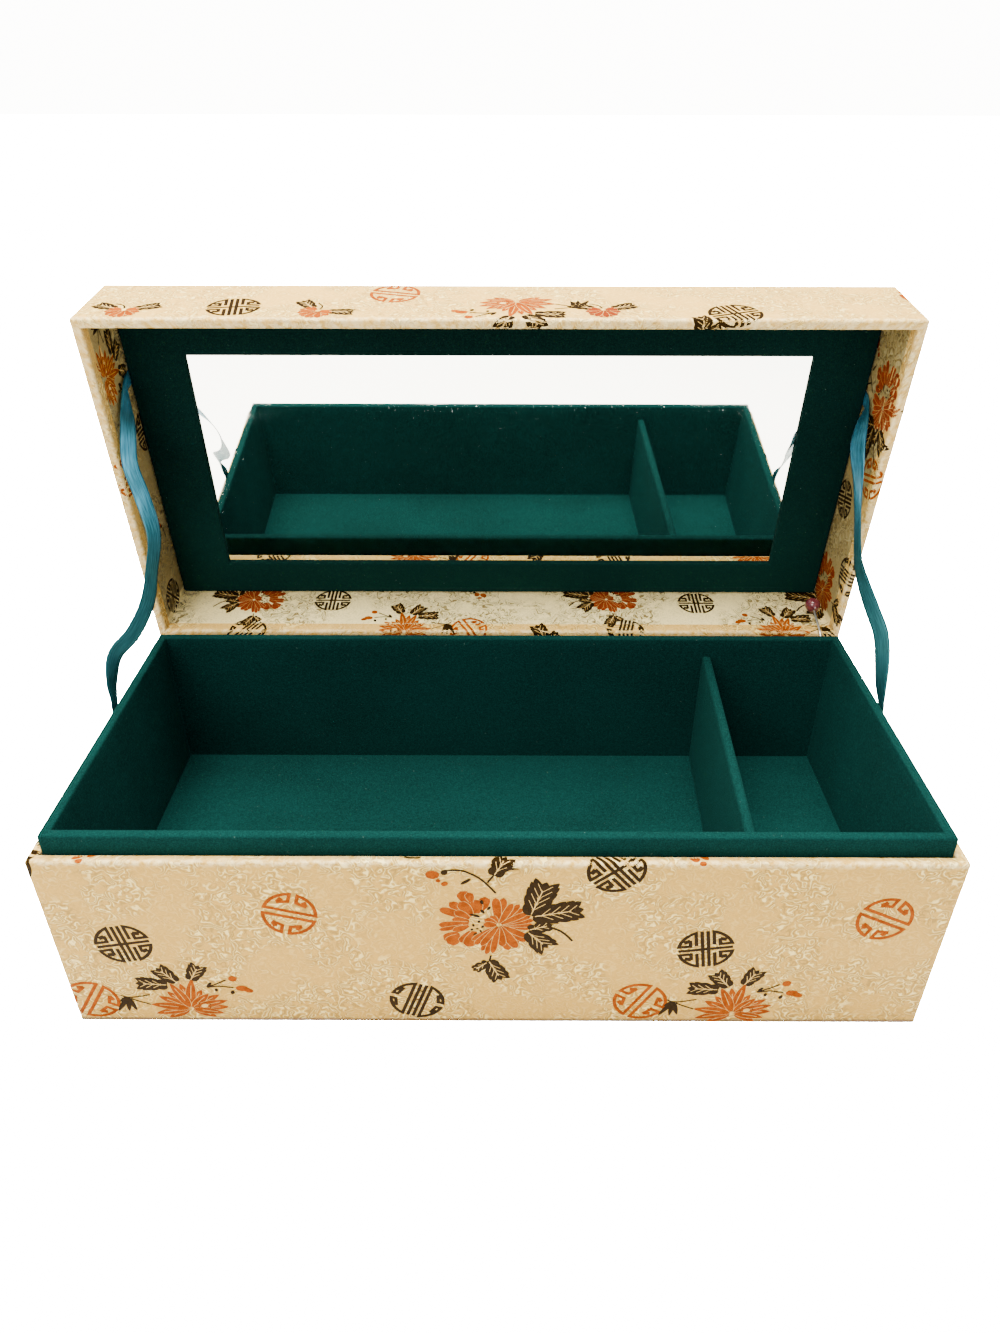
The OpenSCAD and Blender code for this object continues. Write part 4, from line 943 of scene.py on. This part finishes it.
def spread(cloth, s_range, t_range, shift=(0.0, 0.0), free_of=()):
    """Lays the repeat over a stretch of cloth, leaving out what would run into the motifs already there."""
    for i in range(-3, 6):
        for j in range(-3, 6):
            for name, s, t, turn in REPEAT_MOTIFS:
                at_s = s + i * REPEAT[0] + shift[0]
                at_t = t + i * REPEAT[1] + j * REPEAT_UP + shift[1]
                reach = reach_of(name)
                on_cloth = (s_range[0] - reach < at_s < s_range[1] + reach
                            and t_range[0] - reach < at_t < t_range[1] + reach)
                clear = all(math.hypot(at_s - m[1], at_t - m[2]) > (reach + reach_of(m[0])) * KEPT_APART
                            for m in free_of)
                if on_cloth and clear:
                    cloth.add(name, at_s, at_t, turn)


# Base: the front as photographed, with the repeat going on round the other sides
FRONT = [
    ("peony", -3.4, 51.8, 0), ("aster", 84.6, 12.2, 0), ("aster", -108.3, 13.8, 0),
    ("dark cross", -126.4, 39.7, 10), ("dark bars", -28.4, 11.3, -19), ("dark cross", 38.0, 74.4, 40),
    ("dark cross", 70.5, 38.1, 8), ("orange halves", -68.6, 54.3, 75), ("orange halves", -143.4, 11.2, -30),
    ("orange halves", 50.4, 11.1, -30), ("orange halves", 127.8, 52.8, 65), ("buds", 64.8, 79.0, 0),
    ("buds", -133.3, 79.4, 0), ("dark cross", -26.6, 88.3, 30)]
# The rim's pressed stretch starts past its bend, the threads end short of the cloth's edge, and the repeat
# leaves the front's corners free
RIM_BEND = 0.6
TUCKED = 2.0
FRONT_ENDS = BOX_W / 2 + 14
BASE_T = (0, BASE_TOP + WALL)
BASE_END = BASE_TOP + WALL + TURN_IN
base_threads = MotifCloth(base_wrap.at, (LEFT_S, JOIN_S), (HEM, BASE_END - TUCKED),
                          (BASE_TOP + RIM_BEND, BASE_END))
for motif in FRONT:
    base_threads.add(*motif)
spread(base_threads, (FRONT_ENDS, JOIN_S), BASE_T, free_of=FRONT)
spread(base_threads, (LEFT_S, -FRONT_ENDS), BASE_T, free_of=FRONT)


# Lid: walls, rim and lining as photographed from inside, with the repeat over the outside and the top
def inside(name, s, h, turn, size):
    """A motif on the lid's inner faces, upright as it is seen there, and mirrored if its size is negative."""
    return (name, s, INNER_T - h, turn + 180, abs(size), size < 0)


INNER_SIZE = 0.87
LID_INNER = [inside(n, BACK_S - x, h, turn, size) for n, x, h, turn, size in [
    ("red peony", -112.0, 25.0, 0, -0.72), ("dark cross", -77.6, 23.3, 0, INNER_SIZE),
    ("dark bars", -112.6, 0.4, -30, INNER_SIZE), ("dark cross", 91.8, 21.7, 0, INNER_SIZE),
    ("dark bars", 56.8, 1.1, -15, INNER_SIZE), ("aster", -43.2, 6.6, 0, -INNER_SIZE),
    ("aster", 126.8, 5.1, 0, -INNER_SIZE), ("red peony", 53.0, 26.0, 0, -0.72),
    ("orange halves", -13.6, 1.5, 30, INNER_SIZE), ("buds", -8.7, 27.0, 0, -INNER_SIZE)]]
LID_INNER += [inside(n, LEFT_S + d, h, turn, INNER_SIZE) for n, d, h, turn in [
    ("aster", 115.8, 15.2, 0), ("dark cross", 8.0, 16.7, 40), ("orange halves", 77.0, 4.0, 30),
    ("buds", 44.0, 21.0, 0), ("dark cross", 84.0, 31.0, 0)]]
LID_INNER += [inside(n, RIGHT_S - d, h, turn, -INNER_SIZE) for n, d, h, turn in [
    ("red peony", 107.3, 13.2, 0), ("dark cross", 55.7, 23.8, 20), ("dark bars", 29.7, 2.1, 10),
    ("red peony", 12.0, 24.0, 0), ("orange halves", 76.0, 5.0, 20)]]
LID_INNER += [inside(n, x, h, turn, INNER_SIZE) for n, x, h, turn in [
    ("dark halves", -96.0, 21.0, 10), ("aster", -44.0, 14.0, 0), ("orange halves", 12.0, 17.0, 30),
    ("peony", 74.0, 20.0, 0), ("dark cross", 128.0, 18.0, 15)]]
RIM_T = 5.0
LID_RIM_MOTIFS = [
    ("rosette", -133.5, RIM_T, 180), ("rosette", -66.0, RIM_T, 150), ("aster", 5.5, 10.0, 180),
    ("red rosette", 37.0, RIM_T + 1, 180), ("dark cross", 83.5, 5.6, 20)]
# The tray reaches so far up into the shut lid, the repeat outside starts so far above the rim, and the walls'
# threads end so far above the top
BESIDE_TRAY = 11.0
ABOVE_RIM = 12.0
TOP_LAP = 1.4
LID_SHIFT = (30.0, -28.0)
lid_threads = MotifCloth(lid_cloth_at, (LEFT_S, JOIN_S), (INNER_T - TOP_IN + LINING_HEM, LID_H + TOP_LAP),
                         (INNER_T - BESIDE_TRAY, -RIM_BEND))
for motif in LID_INNER + LID_RIM_MOTIFS:
    lid_threads.add(*motif)
spread(lid_threads, (LEFT_S, JOIN_S), (ABOVE_RIM, LID_H), LID_SHIFT, LID_RIM_MOTIFS + LID_INNER)
top_threads = MotifCloth(lid_top_at, (EDGE_R - BOX_W / 2, BOX_W / 2 - EDGE_R),
                         (LID_H + TOP_LAP, TOP_T + BOX_D - EDGE_R), (0.0, 0.0))
spread(top_threads, (-BOX_W / 2, BOX_W / 2), (LID_H, TOP_T + BOX_D), LID_SHIFT)
base_threads.meshes("base", "base")
lid_threads.meshes("lid", "lid")
top_threads.meshes("lid_top", "lid")

# What each cloth and felt piece rides on and stands for
for piece, body, nodes, slot in [
        (base_cloth, "base", ["base_brocade"], "brocade"), (lid_cloth, "lid", ["lid_brocade"], "brocade"),
        (lid_top, "lid", [], "brocade"), (lining_cloth, "lid", ["lid_lining"], "lining"),
        (tray_felt, "base", ["tray_walls"], "felt"), (floor_felt, "base", ["tray_floor"], "felt"),
        (divider_felt, "base", ["tray_divider"], "felt"), (mat_felt, "lid", ["mirror_mat"], "felt")]:
    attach(piece, body)
    if nodes:
        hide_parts(*nodes)
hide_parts("hinge_cloth_base", "hinge_cloth_lid")


# Shader trees
class Tree:
    """Short hand for laying out shader nodes; an input is a number, a colour or another node's output."""

    def __init__(self, tree):
        self.tree = tree

    def feed(self, socket, value):
        if isinstance(value, bpy.types.NodeSocket):
            self.tree.links.new(value, socket)
        else:
            socket.default_value = value

    def add(self, kind, inputs=None, **props):
        node = self.tree.nodes.new(kind)
        for key, value in props.items():
            setattr(node, key, value)
        for key, value in (inputs or {}).items():
            self.feed(node.inputs[key], value)
        return node

    def math(self, operation, a, b=0.0):
        return self.add("ShaderNodeMath", {0: a, 1: b}, operation=operation).outputs[0]

    def plus(self, a, b):
        return self.math("ADD", a, b)

    def minus(self, a, b):
        return self.math("SUBTRACT", a, b)

    def times(self, a, b):
        return self.math("MULTIPLY", a, b)

    def mix(self, share, a, b):
        """Colour a turning to b."""
        node = self.add("ShaderNodeMix", data_type="RGBA")
        for key, value in ((0, share), (6, a), (7, b)):
            self.feed(node.inputs[key], value)
        return node.outputs[2]

    def band(self, value, low, high, out_low=0.0, out_high=1.0):
        """A soft step from out_low to out_high while the value goes from low to high."""
        node = self.add("ShaderNodeMapRange", {0: value, 1: low, 2: high, 3: out_low, 4: out_high},
                        interpolation_type="SMOOTHSTEP")
        return node.outputs[0]

    def noise(self, vector, scale, detail=2.0, rough=0.5):
        inputs = {"Vector": vector, "Scale": scale, "Detail": detail, "Roughness": rough}
        return self.add("ShaderNodeTexNoise", inputs).outputs["Fac"]

    def scaled(self, vector, x, y=None, z=None):
        sizes = (x, x if y is None else y, x if z is None else z)
        return self.add("ShaderNodeVectorMath", {0: vector, 1: sizes}, operation="MULTIPLY").outputs[0]

    def split(self, vector):
        return self.add("ShaderNodeSeparateXYZ", {0: vector}).outputs

    def by_ray(self, light, mirrored, camera):
        """One brightness for the light given, one in mirrors and gloss, and one for the camera."""
        path = self.add("ShaderNodeLightPath").outputs
        unseen = self.band(path["Is Glossy Ray"], 0.0, 1.0, light, mirrored)
        return self.math("MAXIMUM", unseen, self.times(path["Is Camera Ray"], camera))


def node_group(name, values, outputs, build):
    """A shader node group, built once: it takes a place and named values, and puts out masks and heights."""
    group = bpy.data.node_groups.new(name, "ShaderNodeTree")
    group.interface.new_socket(name="Place", in_out="INPUT", socket_type="NodeSocketVector")
    for label, default in values.items():
        socket = group.interface.new_socket(name=label, in_out="INPUT", socket_type="NodeSocketFloat")
        socket.default_value = default
    for label in outputs:
        group.interface.new_socket(name=label, in_out="OUTPUT", socket_type="NodeSocketFloat")
    tree = Tree(group)
    start, end = group.nodes.new("NodeGroupInput"), group.nodes.new("NodeGroupOutput")
    for label, value in build(tree, start.outputs).items():
        group.links.new(value, end.inputs[label])
    return group


def build_weave(tree, put):
    """Crossed threads with uneven thickness."""
    x, y, _ = tree.split(put["Place"])
    turn = tree.math("DIVIDE", 2 * math.pi, put["Thread"])
    warp = tree.math("SINE", tree.times(x, turn))
    weft = tree.math("SINE", tree.times(y, turn))
    cross = tree.times(warp, weft)
    slub = tree.noise(tree.scaled(put["Place"], 0.25, 3.2, 1.0), 1.0, 2.0)
    height = tree.plus(tree.times(cross, 0.3), tree.times(slub, 0.8))
    return {"Height": height, "Over": tree.band(cross, -0.2, 0.2), "Slub": slub}


def build_scrolls(tree, put):
    """Clusters of small curls nearly all over, as damask clouds, standing higher in some patches, with a mask
    of painted shade beside each curl.
    """
    place = tree.scaled(put["Place"], 1.0, 1.0, 0.0)
    push = tree.add("ShaderNodeTexNoise", {"Vector": place, "Scale": 0.2, "Detail": 1.0}).outputs["Color"]
    centred = tree.add("ShaderNodeVectorMath", {0: push, 1: (0.5, 0.5, 0.5)}, operation="SUBTRACT").outputs[0]
    shift = tree.scaled(centred, 14.0)
    pushed = tree.add("ShaderNodeVectorMath", {0: place, 1: shift}, operation="ADD").outputs[0]
    cells = tree.add("ShaderNodeTexVoronoi", {"Vector": pushed, "Scale": 0.13}, voronoi_dimensions="2D")
    rings = tree.math("PINGPONG", tree.times(cells.outputs["Distance"], put["Rings"]), 0.5)
    line = tree.band(rings, 0.29, 0.42)
    gap = tree.band(tree.noise(place, 0.3, 1.0), 0.34, 0.46)
    # painted shade: the dark side beside each curl
    valley_shade = tree.minus(1.0, tree.band(rings, 0.06, 0.2))
    patch = tree.band(tree.noise(place, 0.034, 2.0, 0.6), 0.4, 0.56)
    share = tree.times(gap, tree.band(patch, 0.0, 1.0, 0.18, 1.0))
    return {"Scroll": tree.times(line, share), "Valley": tree.times(valley_shade, share)}


def build_rubbed_and_highlight(tree, put):
    """Where a bent edge of the cloth is rubbed and carries a painted highlight: a broken band either side of
    a line.
    """
    away = tree.math("ABSOLUTE", tree.minus(put["Along"], put["Edge"]))
    near = tree.minus(1.0, tree.band(away, 0.0, put["Reach"]))
    broken = tree.band(tree.noise(put["Place"], 0.35, 3.0, 0.65), 0.36, 0.62)
    return {"Wear": tree.times(near, broken)}


def build_fuzz(tree, put):
    """Short felt fibres, and the larger patches where they were brushed another way."""
    fibre = tree.noise(put["Place"], 2.4, 3.0, 0.7)
    streak = tree.noise(tree.scaled(put["Place"], 0.5, 1.6, 0.8), 0.9, 2.0, 0.6)
    brushed = tree.noise(tree.scaled(put["Place"], 0.016, 0.03, 0.02), 1.0, 2.0, 0.55)
    lint = tree.band(tree.noise(put["Place"], 0.62, 3.0, 0.8), 0.69, 0.73)
    height = tree.plus(fibre, tree.times(streak, 0.6))
    return {"Height": height, "Brushed": tree.band(brushed, 0.3, 0.7), "Fibre": fibre, "Lint": lint}


def build_specks(tree, put):
    """Small flecks and slow mottling, for board, paper and metal."""
    fleck = tree.band(tree.noise(put["Place"], put["Scale"], 3.0, 0.7), 0.58, 0.7)
    slow = tree.noise(put["Place"], tree.times(put["Scale"], 0.08), 2.0)
    return {"Fleck": fleck, "Mottle": slow}


weave_group = node_group("woven threads", {"Thread": 0.4}, ["Height", "Over", "Slub"], build_weave)
scroll_group = node_group("damask scrolls", {"Rings": 3.7}, ["Scroll", "Valley"], build_scrolls)
rubbed_and_highlight_group = node_group("rubbed edge and painted highlight", {"Along": 0.0, "Edge": 0.0, "Reach": 2.0}, ["Wear"], build_rubbed_and_highlight)
fuzz_group = node_group("felt fuzz", {}, ["Height", "Brushed", "Fibre", "Lint"], build_fuzz)
speck_group = node_group("flecks and mottling", {"Scale": 1.0}, ["Fleck", "Mottle"], build_specks)


class Finish(Tree):
    """A material with a Principled shader, its place vector in millimetres, and a bump."""

    def __init__(self, name, cloth=False, **constants):
        self.material = bpy.data.materials.new(name)
        self.material.use_nodes = True
        super().__init__(self.material.node_tree)
        self.shader = self.tree.nodes["Principled BSDF"]
        for label, value in constants.items():
            self.shader.inputs[label.replace("_", " ")].default_value = value
        if cloth:
            self.place = self.add("ShaderNodeUVMap", uv_map="cloth").outputs[0]
        else:
            self.place = self.scaled(self.add("ShaderNodeTexCoord").outputs["Object"], 1000.0)

    def group(self, group, **inputs):
        node = self.add("ShaderNodeGroup", node_tree=group)
        for label, value in {"Place": self.place, **inputs}.items():
            self.feed(node.inputs[label], value)
        return node.outputs

    def colour(self, value):
        self.feed(self.shader.inputs["Base Color"], value)

    def rough(self, value):
        self.feed(self.shader.inputs["Roughness"], value)

    def bump(self, height, depth_mm, strength, under=None):
        node = self.add("ShaderNodeBump", {"Strength": strength, "Distance": depth_mm * MM, "Height": height})
        if under is not None:
            self.feed(node.inputs["Normal"], under)
        self.feed(self.shader.inputs["Normal"], node.outputs[0])
        return node.outputs[0]


def rgb(r, g, b):
    return (r, g, b, 1.0)


def toned(colour, share):
    """The colour, darker or lighter by a share."""
    return rgb(*(share * c for c in colour[:3]))


# Colours of the cloths, before the light, with some painted highlights and painted shade among them
GROUND, GROUND_LID, GROUND_LINING = rgb(0.6, 0.36, 0.065), rgb(0.72, 0.45, 0.11), rgb(1.0, 0.85, 0.42)
# The first colour is the scrolls' light tone with a painted highlight in it; the second is the lining's dark
# scroll lines
RAISED_AND_HIGHLIGHT, RAISED_LINING = rgb(1.0, 0.79, 0.28), rgb(0.16, 0.115, 0.03)
# Light band on the folds: partly rubbed wear, partly a painted highlight
RUBBED_AND_HIGHLIGHT = rgb(1.0, 0.86, 0.5)
# Painted contact shadow along the box's foot
CONTACT_SHADOW = rgb(0.08, 0.04, 0.02)
# Painted shade for the lining on the lid's side walls
SIDE_WALL_SHADE = rgb(0.19, 0.135, 0.038)
FELT_DEEP, FELT_BRUSHED = rgb(0.0004, 0.0108, 0.0102), rgb(0.0008, 0.019, 0.0182)
FELT_EDGE = rgb(0.011, 0.13, 0.12)
MAT_DEEP, MAT_BRUSHED, MAT_EDGE = rgb(0.0004, 0.006, 0.0055), rgb(0.0008, 0.011, 0.01), rgb(0.006, 0.06, 0.05)
LINT = rgb(0.12, 0.2, 0.18)
# Between these heights the mirror's mat stops getting paler towards its bottom
MAT_PALER_BELOW = (100.0, 165.0)
# Where along the cloth its folds are rubbed and carry a painted highlight
BASE_FOLDS = [BASE_TOP - 0.5, BASE_TOP + WALL / 2 + 1.6]
LID_FOLDS = [-0.6, -3.4, TOP_T + 0.5]
# The lining is painted darker and more golden on the lid's side walls, as painted shade: how near the corners
# that begins, and where it is full
SIDE_SHADE_FROM, SIDE_SHADE_FULL = 5, 3


def brocade_finish(name, ground, raised, edges, scroll_share=0.8, rings=3.7, foot=False, shaded_side_walls=False):
    """Sand coloured silk with raised scrolls, slubbed threads and rubbed folds, and painted highlights and
    painted shade.
    """
    m = Finish(name, cloth=True, Sheen_Weight=0.03, Sheen_Roughness=0.4, Specular_IOR_Level=0.1)
    weave = m.group(weave_group, Thread=0.42)
    scroll = m.group(scroll_group, Rings=rings)
    around, along, _ = m.split(m.place)
    slow = m.noise(m.place, 0.02, 2.0)
    fine = m.noise(m.scaled(m.place, 1.0, 2.2, 1.0), 1.1, 2.0, 0.7)
    aged = rgb(ground[0] * 0.93, ground[1] * 0.9, ground[2] * 0.82)
    base = m.mix(m.band(fine, 0.3, 0.7), toned(ground, 0.72), ground)
    base = m.mix(m.times(m.band(slow, 0.35, 0.65), 0.22), base, aged)
    if shaded_side_walls:
        # painted shade: the lining's side walls darkened to a golden brown
        from_middle = m.math("ABSOLUTE", around)
        begins = m.band(from_middle, BOX_W / 2 - SIDE_SHADE_FROM, BOX_W / 2 - SIDE_SHADE_FULL)
        ends = m.band(from_middle, RIGHT_S - SIDE_SHADE_FROM, RIGHT_S - SIDE_SHADE_FULL, 0.85, 0.0)
        base = m.mix(m.times(begins, ends), base, SIDE_WALL_SHADE)
    # painted shade beside the raised scrolls
    base = m.mix(m.times(scroll["Valley"], 0.75), base, toned(ground, 0.42))
    # on the base and lid the raised scrolls carry a painted highlight; on the lining they are dark lines
    base = m.mix(m.times(scroll["Scroll"], scroll_share), base, raised)
    for edge in edges:
        # the folds are lightened: partly rubbed wear, partly a painted highlight
        wear_and_highlight = m.group(rubbed_and_highlight_group, Along=along, Edge=edge, Reach=2.4)["Wear"]
        base = m.mix(m.times(wear_and_highlight, 0.6), base, RUBBED_AND_HIGHLIGHT)
    # painted shadow: a dark line along the foot where the box meets the floor
    if foot:
        contact_shadow = m.band(m.plus(along, m.times(fine, 0.5)), 1.0, 2.2, 0.85, 0.0)
        base = m.mix(contact_shadow, base, CONTACT_SHADOW)
    m.colour(base)
    slubbed = m.band(weave["Slub"], 0.2, 0.8, 0.56, 0.46)
    m.rough(m.minus(slubbed, m.times(scroll["Scroll"], 0.16)))
    low = m.bump(weave["Height"], 0.035, 0.8)
    m.bump(scroll["Scroll"], 0.42, 1.0, low)
    return m.material


def thread_finish(name, lit, shade):
    """Coloured weft threads of a motif: floats side by side, broken where they are bound."""
    m = Finish(name, cloth=True, Specular_IOR_Level=0.02)
    weave = m.group(weave_group, Thread=0.36)
    fine = m.noise(m.scaled(m.place, 1.0, 2.6, 1.0), 1.6, 2.0, 0.7)
    gaps = m.times(m.band(fine, 0.34, 0.62), m.band(weave["Over"], 0.0, 1.0, 0.72, 1.0))
    base = m.mix(gaps, shade, lit)
    worn = m.band(m.noise(m.scaled(m.place, 1.0, 1.0, 0.0), 0.32, 2.0, 0.6), 0.42, 0.62, 0.0, 0.7)
    m.colour(m.mix(worn, base, shade))
    m.rough(m.band(fine, 0.3, 0.7, 0.62, 0.46))
    m.bump(weave["Height"], 0.04, 0.9)
    return m.material


def felt_finish(name, deep, brushed, edge_lit, paler_below=None):
    """Green felt, paler where it was brushed the other way and along rounded edges."""
    m = Finish(name, Sheen_Weight=0.1, Sheen_Roughness=0.5, Specular_IOR_Level=0.03)
    m.shader.inputs["Sheen Tint"].default_value = edge_lit
    fuzz = m.group(fuzz_group)
    base = m.mix(m.times(fuzz["Brushed"], 0.6), deep, brushed)
    if paler_below:
        _, _, height = m.split(m.place)
        base = m.mix(m.band(height, *paler_below, 0.22, 0.0), base, edge_lit)
    base = m.mix(m.times(m.band(fuzz["Fibre"], 0.35, 0.7), 0.16), base, edge_lit)
    base = m.mix(m.times(fuzz["Lint"], 0.25), base, LINT)
    m.colour(base)
    m.rough(m.band(fuzz["Fibre"], 0.3, 0.7, 0.98, 0.86))
    m.bump(fuzz["Height"], 0.16, 0.7)
    return m.material


def satin_finish():
    """Teal satin: long floats along the ribbon, with painted shade on its lower run and a painted highlight
    that makes it bluer and paler towards the lid.
    """
    m = Finish("teal satin", cloth=True, Metallic=0.6, Anisotropic=0.6, Specular_IOR_Level=0.2)
    floats = m.band(m.noise(m.scaled(m.place, 3.4, 0.1, 1.0), 1.0, 2.0, 0.6), 0.34, 0.66)
    slow = m.noise(m.place, 0.06, 2.0)
    x, run, _ = m.split(m.place)
    selvedge = m.band(m.math("ABSOLUTE", x), 2.4, 2.9)
    # painted shade on the ribbon's lower run, painted highlight on its upper run towards the lid
    low = m.mix(floats, rgb(0.003, 0.035, 0.04), rgb(0.016, 0.092, 0.108))
    high = m.mix(floats, rgb(0.012, 0.12, 0.2), rgb(0.06, 0.28, 0.45))
    base = m.mix(m.band(run, 66.0, 122.0), low, high)
    base = m.mix(m.band(slow, 0.35, 0.65, 0.0, 0.55), base, rgb(0.004, 0.045, 0.06))
    base = m.mix(m.times(selvedge, 0.6), base, rgb(0.004, 0.035, 0.05))
    m.colour(base)
    m.rough(m.minus(0.46, m.times(floats, 0.12)))
    m.bump(m.plus(floats, m.times(slow, 2.0)), 0.03, 0.6)
    return m.material


def speckled_finish(name, ground, fleck, scale, roughness, depth, fleck_share=0.5):
    """Board and paper: flecked, slightly mottled, dull."""
    m = Finish(name, Specular_IOR_Level=0.25)
    specks = m.group(speck_group, Scale=scale)
    base = m.mix(specks["Mottle"], toned(ground, 0.88), toned(ground, 1.08))
    m.colour(m.mix(m.times(specks["Fleck"], fleck_share), base, fleck))
    m.rough(m.band(specks["Mottle"], 0.3, 0.7, roughness - 0.05, roughness + 0.05))
    m.bump(m.noise(m.place, scale * 1.6, 3.0, 0.7), depth, 0.8)
    return m.material


def metal_finish(name, bright, dull, roughness):
    """Brass or steel: ground in one direction, a little dull in patches."""
    m = Finish(name, Metallic=1.0)
    specks = m.group(speck_group, Scale=1.1)
    ground = m.noise(m.scaled(m.place, 0.5, 9.0, 9.0), 1.0, 2.0, 0.6)
    base = m.mix(m.band(specks["Mottle"], 0.35, 0.7), bright, dull)
    m.colour(m.mix(m.times(specks["Fleck"], 0.3), base, toned(dull, 0.7)))
    m.rough(m.band(m.plus(ground, specks["Fleck"]), 0.3, 1.2, roughness, roughness + 0.2))
    m.bump(ground, 0.012, 0.5)
    return m.material


def mirror_finish():
    """Silvered glass with a faint film of dust and a few wiped streaks."""
    m = Finish("silvered glass", Metallic=1.0, Specular_IOR_Level=0.5)
    wiped = m.noise(m.scaled(m.place, 0.02, 0.09, 0.09), 1.0, 3.0, 0.6)
    dust = m.band(m.noise(m.place, 0.9, 3.0, 0.7), 0.66, 0.74)
    m.colour(m.mix(m.times(dust, 0.2), rgb(0.86, 0.89, 0.88), rgb(0.6, 0.63, 0.62)))
    m.rough(m.plus(m.band(wiped, 0.45, 0.75, 0.012, 0.05), m.times(dust, 0.12)))
    return m.material


def bead_finish():
    """Wine red bead, polished and slightly see-through."""
    m = Finish("wine red bead", Transmission_Weight=0.45, IOR=1.52, Coat_Weight=0.4)
    swirl = m.noise(m.place, 0.5, 3.0, 0.6)
    m.colour(m.mix(m.band(swirl, 0.35, 0.65), rgb(0.15, 0.02, 0.035), rgb(0.26, 0.05, 0.07)))
    m.rough(m.band(swirl, 0.3, 0.7, 0.06, 0.12))
    return m.material


brocade_base = brocade_finish("sand brocade, base", GROUND, RAISED_AND_HIGHLIGHT, BASE_FOLDS, foot=True)
brocade_lid = brocade_finish("sand brocade, lid", GROUND_LID, RAISED_AND_HIGHLIGHT, LID_FOLDS)
brocade_lining = brocade_finish("sand brocade, lining", GROUND_LINING, RAISED_LINING, [], scroll_share=0.9,
                                rings=3.0, shaded_side_walls=True)
felt = felt_finish("green felt", FELT_DEEP, FELT_BRUSHED, FELT_EDGE)
felt_mat = felt_finish("green felt, mirror mat", MAT_DEEP, MAT_BRUSHED, MAT_EDGE, MAT_PALER_BELOW)
THREADS = {
    "dark": thread_finish("dark brown thread", rgb(0.022, 0.0105, 0.0012), rgb(0.009, 0.0045, 0.0006)),
    "orange": thread_finish("orange thread", rgb(0.38, 0.086, 0.0004), rgb(0.17, 0.028, 0.0003)),
    "red": thread_finish("red thread", rgb(0.27, 0.042, 0.004), rgb(0.13, 0.018, 0.003)),
    "pale": thread_finish("pale thread", rgb(0.74, 0.52, 0.2), rgb(0.56, 0.36, 0.11)),
}
SLOT_FINISHES = {
    "board": speckled_finish("grey board", rgb(0.38, 0.34, 0.27), rgb(0.2, 0.18, 0.14), 1.3, 0.85, 0.05),
    "paper": speckled_finish("lining paper", rgb(0.72, 0.66, 0.52), rgb(0.5, 0.42, 0.3), 1.8, 0.8, 0.02,
                             fleck_share=0.25),
    "brass": metal_finish("satin brass", rgb(0.78, 0.56, 0.24), rgb(0.58, 0.4, 0.17), 0.26),
    "steel": metal_finish("ground steel", rgb(0.4, 0.4, 0.39), rgb(0.27, 0.27, 0.27), 0.3),
    "mirror": mirror_finish(), "bead": bead_finish(),
}
satin = satin_finish()


def dress(piece, material):
    piece.data.materials.clear()
    piece.data.materials.append(material)


for material, pieces in [
        (brocade_base, [base_cloth, hinge_strip]), (brocade_lid, [lid_cloth, lid_top]),
        (brocade_lining, [lining_cloth]), (felt, [tray_felt, floor_felt, divider_felt]),
        (felt_mat, [mat_felt]), (satin, [satin_left, satin_right])]:
    for piece in pieces:
        dress(piece, material)
for piece, colour in THREAD_PIECES:
    dress(piece, THREADS[colour])
for part in frame["record"]["subparts"]:
    finish = SLOT_FINISHES.get(part["material_slot"])
    if finish is not None:
        node = frame["nodes"][part["node"]]
        for held in node.material_slots:
            held.material = finish


# Floor and light: each white has a strength as light on the box, in mirrors and gloss, and to the camera
FLOOR_Z = -0.05
FLOOR_HALF = 9000.0
FLOOR_WHITE = 0.8
FLOOR_IN_MIRROR = 2.0
FLOOR_TO_CAMERA = 40.0
STUDIO_LIGHT = 0.75
STUDIO_IN_MIRROR = 1.0
STUDIO_TO_CAMERA = 14.0
STUDIO_TINT = rgb(1, 0.98, 0.94)
WARM = (1.0, 0.93, 0.8)


def make_stage():
    """A plain pale floor, printed near white as in the photograph, with the box's own soft shadow on it."""
    corners = [(x * FLOOR_HALF, y * FLOOR_HALF, FLOOR_Z) for x, y in [(-1, -1), (1, -1), (1, 1), (-1, 1)]]
    floor = make_mesh("floor", corners, [(0, 1, 2, 3)])
    material = bpy.data.materials.new("pale floor")
    material.use_nodes = True
    m = Tree(material.node_tree)
    m.tree.nodes.clear()
    place = m.add("ShaderNodeTexCoord").outputs["Object"]
    paper = m.band(m.noise(place, 6.0, 2.0), 0.3, 0.7, 0.98, 1.0)
    white = m.times(paper, m.by_ray(FLOOR_WHITE, FLOOR_IN_MIRROR, FLOOR_TO_CAMERA))
    grey = m.add("ShaderNodeCombineColor", {0: white, 1: white, 2: white}).outputs[0]
    dull = m.add("ShaderNodeBsdfDiffuse", {"Color": grey}).outputs[0]
    m.add("ShaderNodeOutputMaterial", {"Surface": dull})
    dress(floor, material)


def make_light(name, place, target, size, power):
    """A soft oblong lamp; its place and size are in metres and its power in watts."""
    data = bpy.data.lights.new(name, "AREA")
    data.shape = "RECTANGLE"
    data.size, data.size_y = size
    data.energy = power
    data.color = WARM
    lamp = add_object(name, data)
    lamp.location = place
    lamp.rotation_euler = (Vector(target) - Vector(place)).to_track_quat("-Z", "Y").to_euler()


def make_world():
    world = bpy.data.worlds.new("studio")
    bpy.context.scene.world = world
    world.use_nodes = True
    m = Tree(world.node_tree)
    back = m.tree.nodes["Background"]
    back.inputs["Color"].default_value = STUDIO_TINT
    m.feed(back.inputs["Strength"], m.by_ray(STUDIO_LIGHT, STUDIO_IN_MIRROR, STUDIO_TO_CAMERA))


make_stage()
make_light("over_light", place=(-0.12, 0.1, 1.25), target=(0, 0.02, 0.05), size=(1.0, 0.7), power=88)
make_light("front_light", place=(-0.6, -1.1, 0.95), target=(0, 0, 0.06), size=(0.7, 0.7), power=15)
make_world()
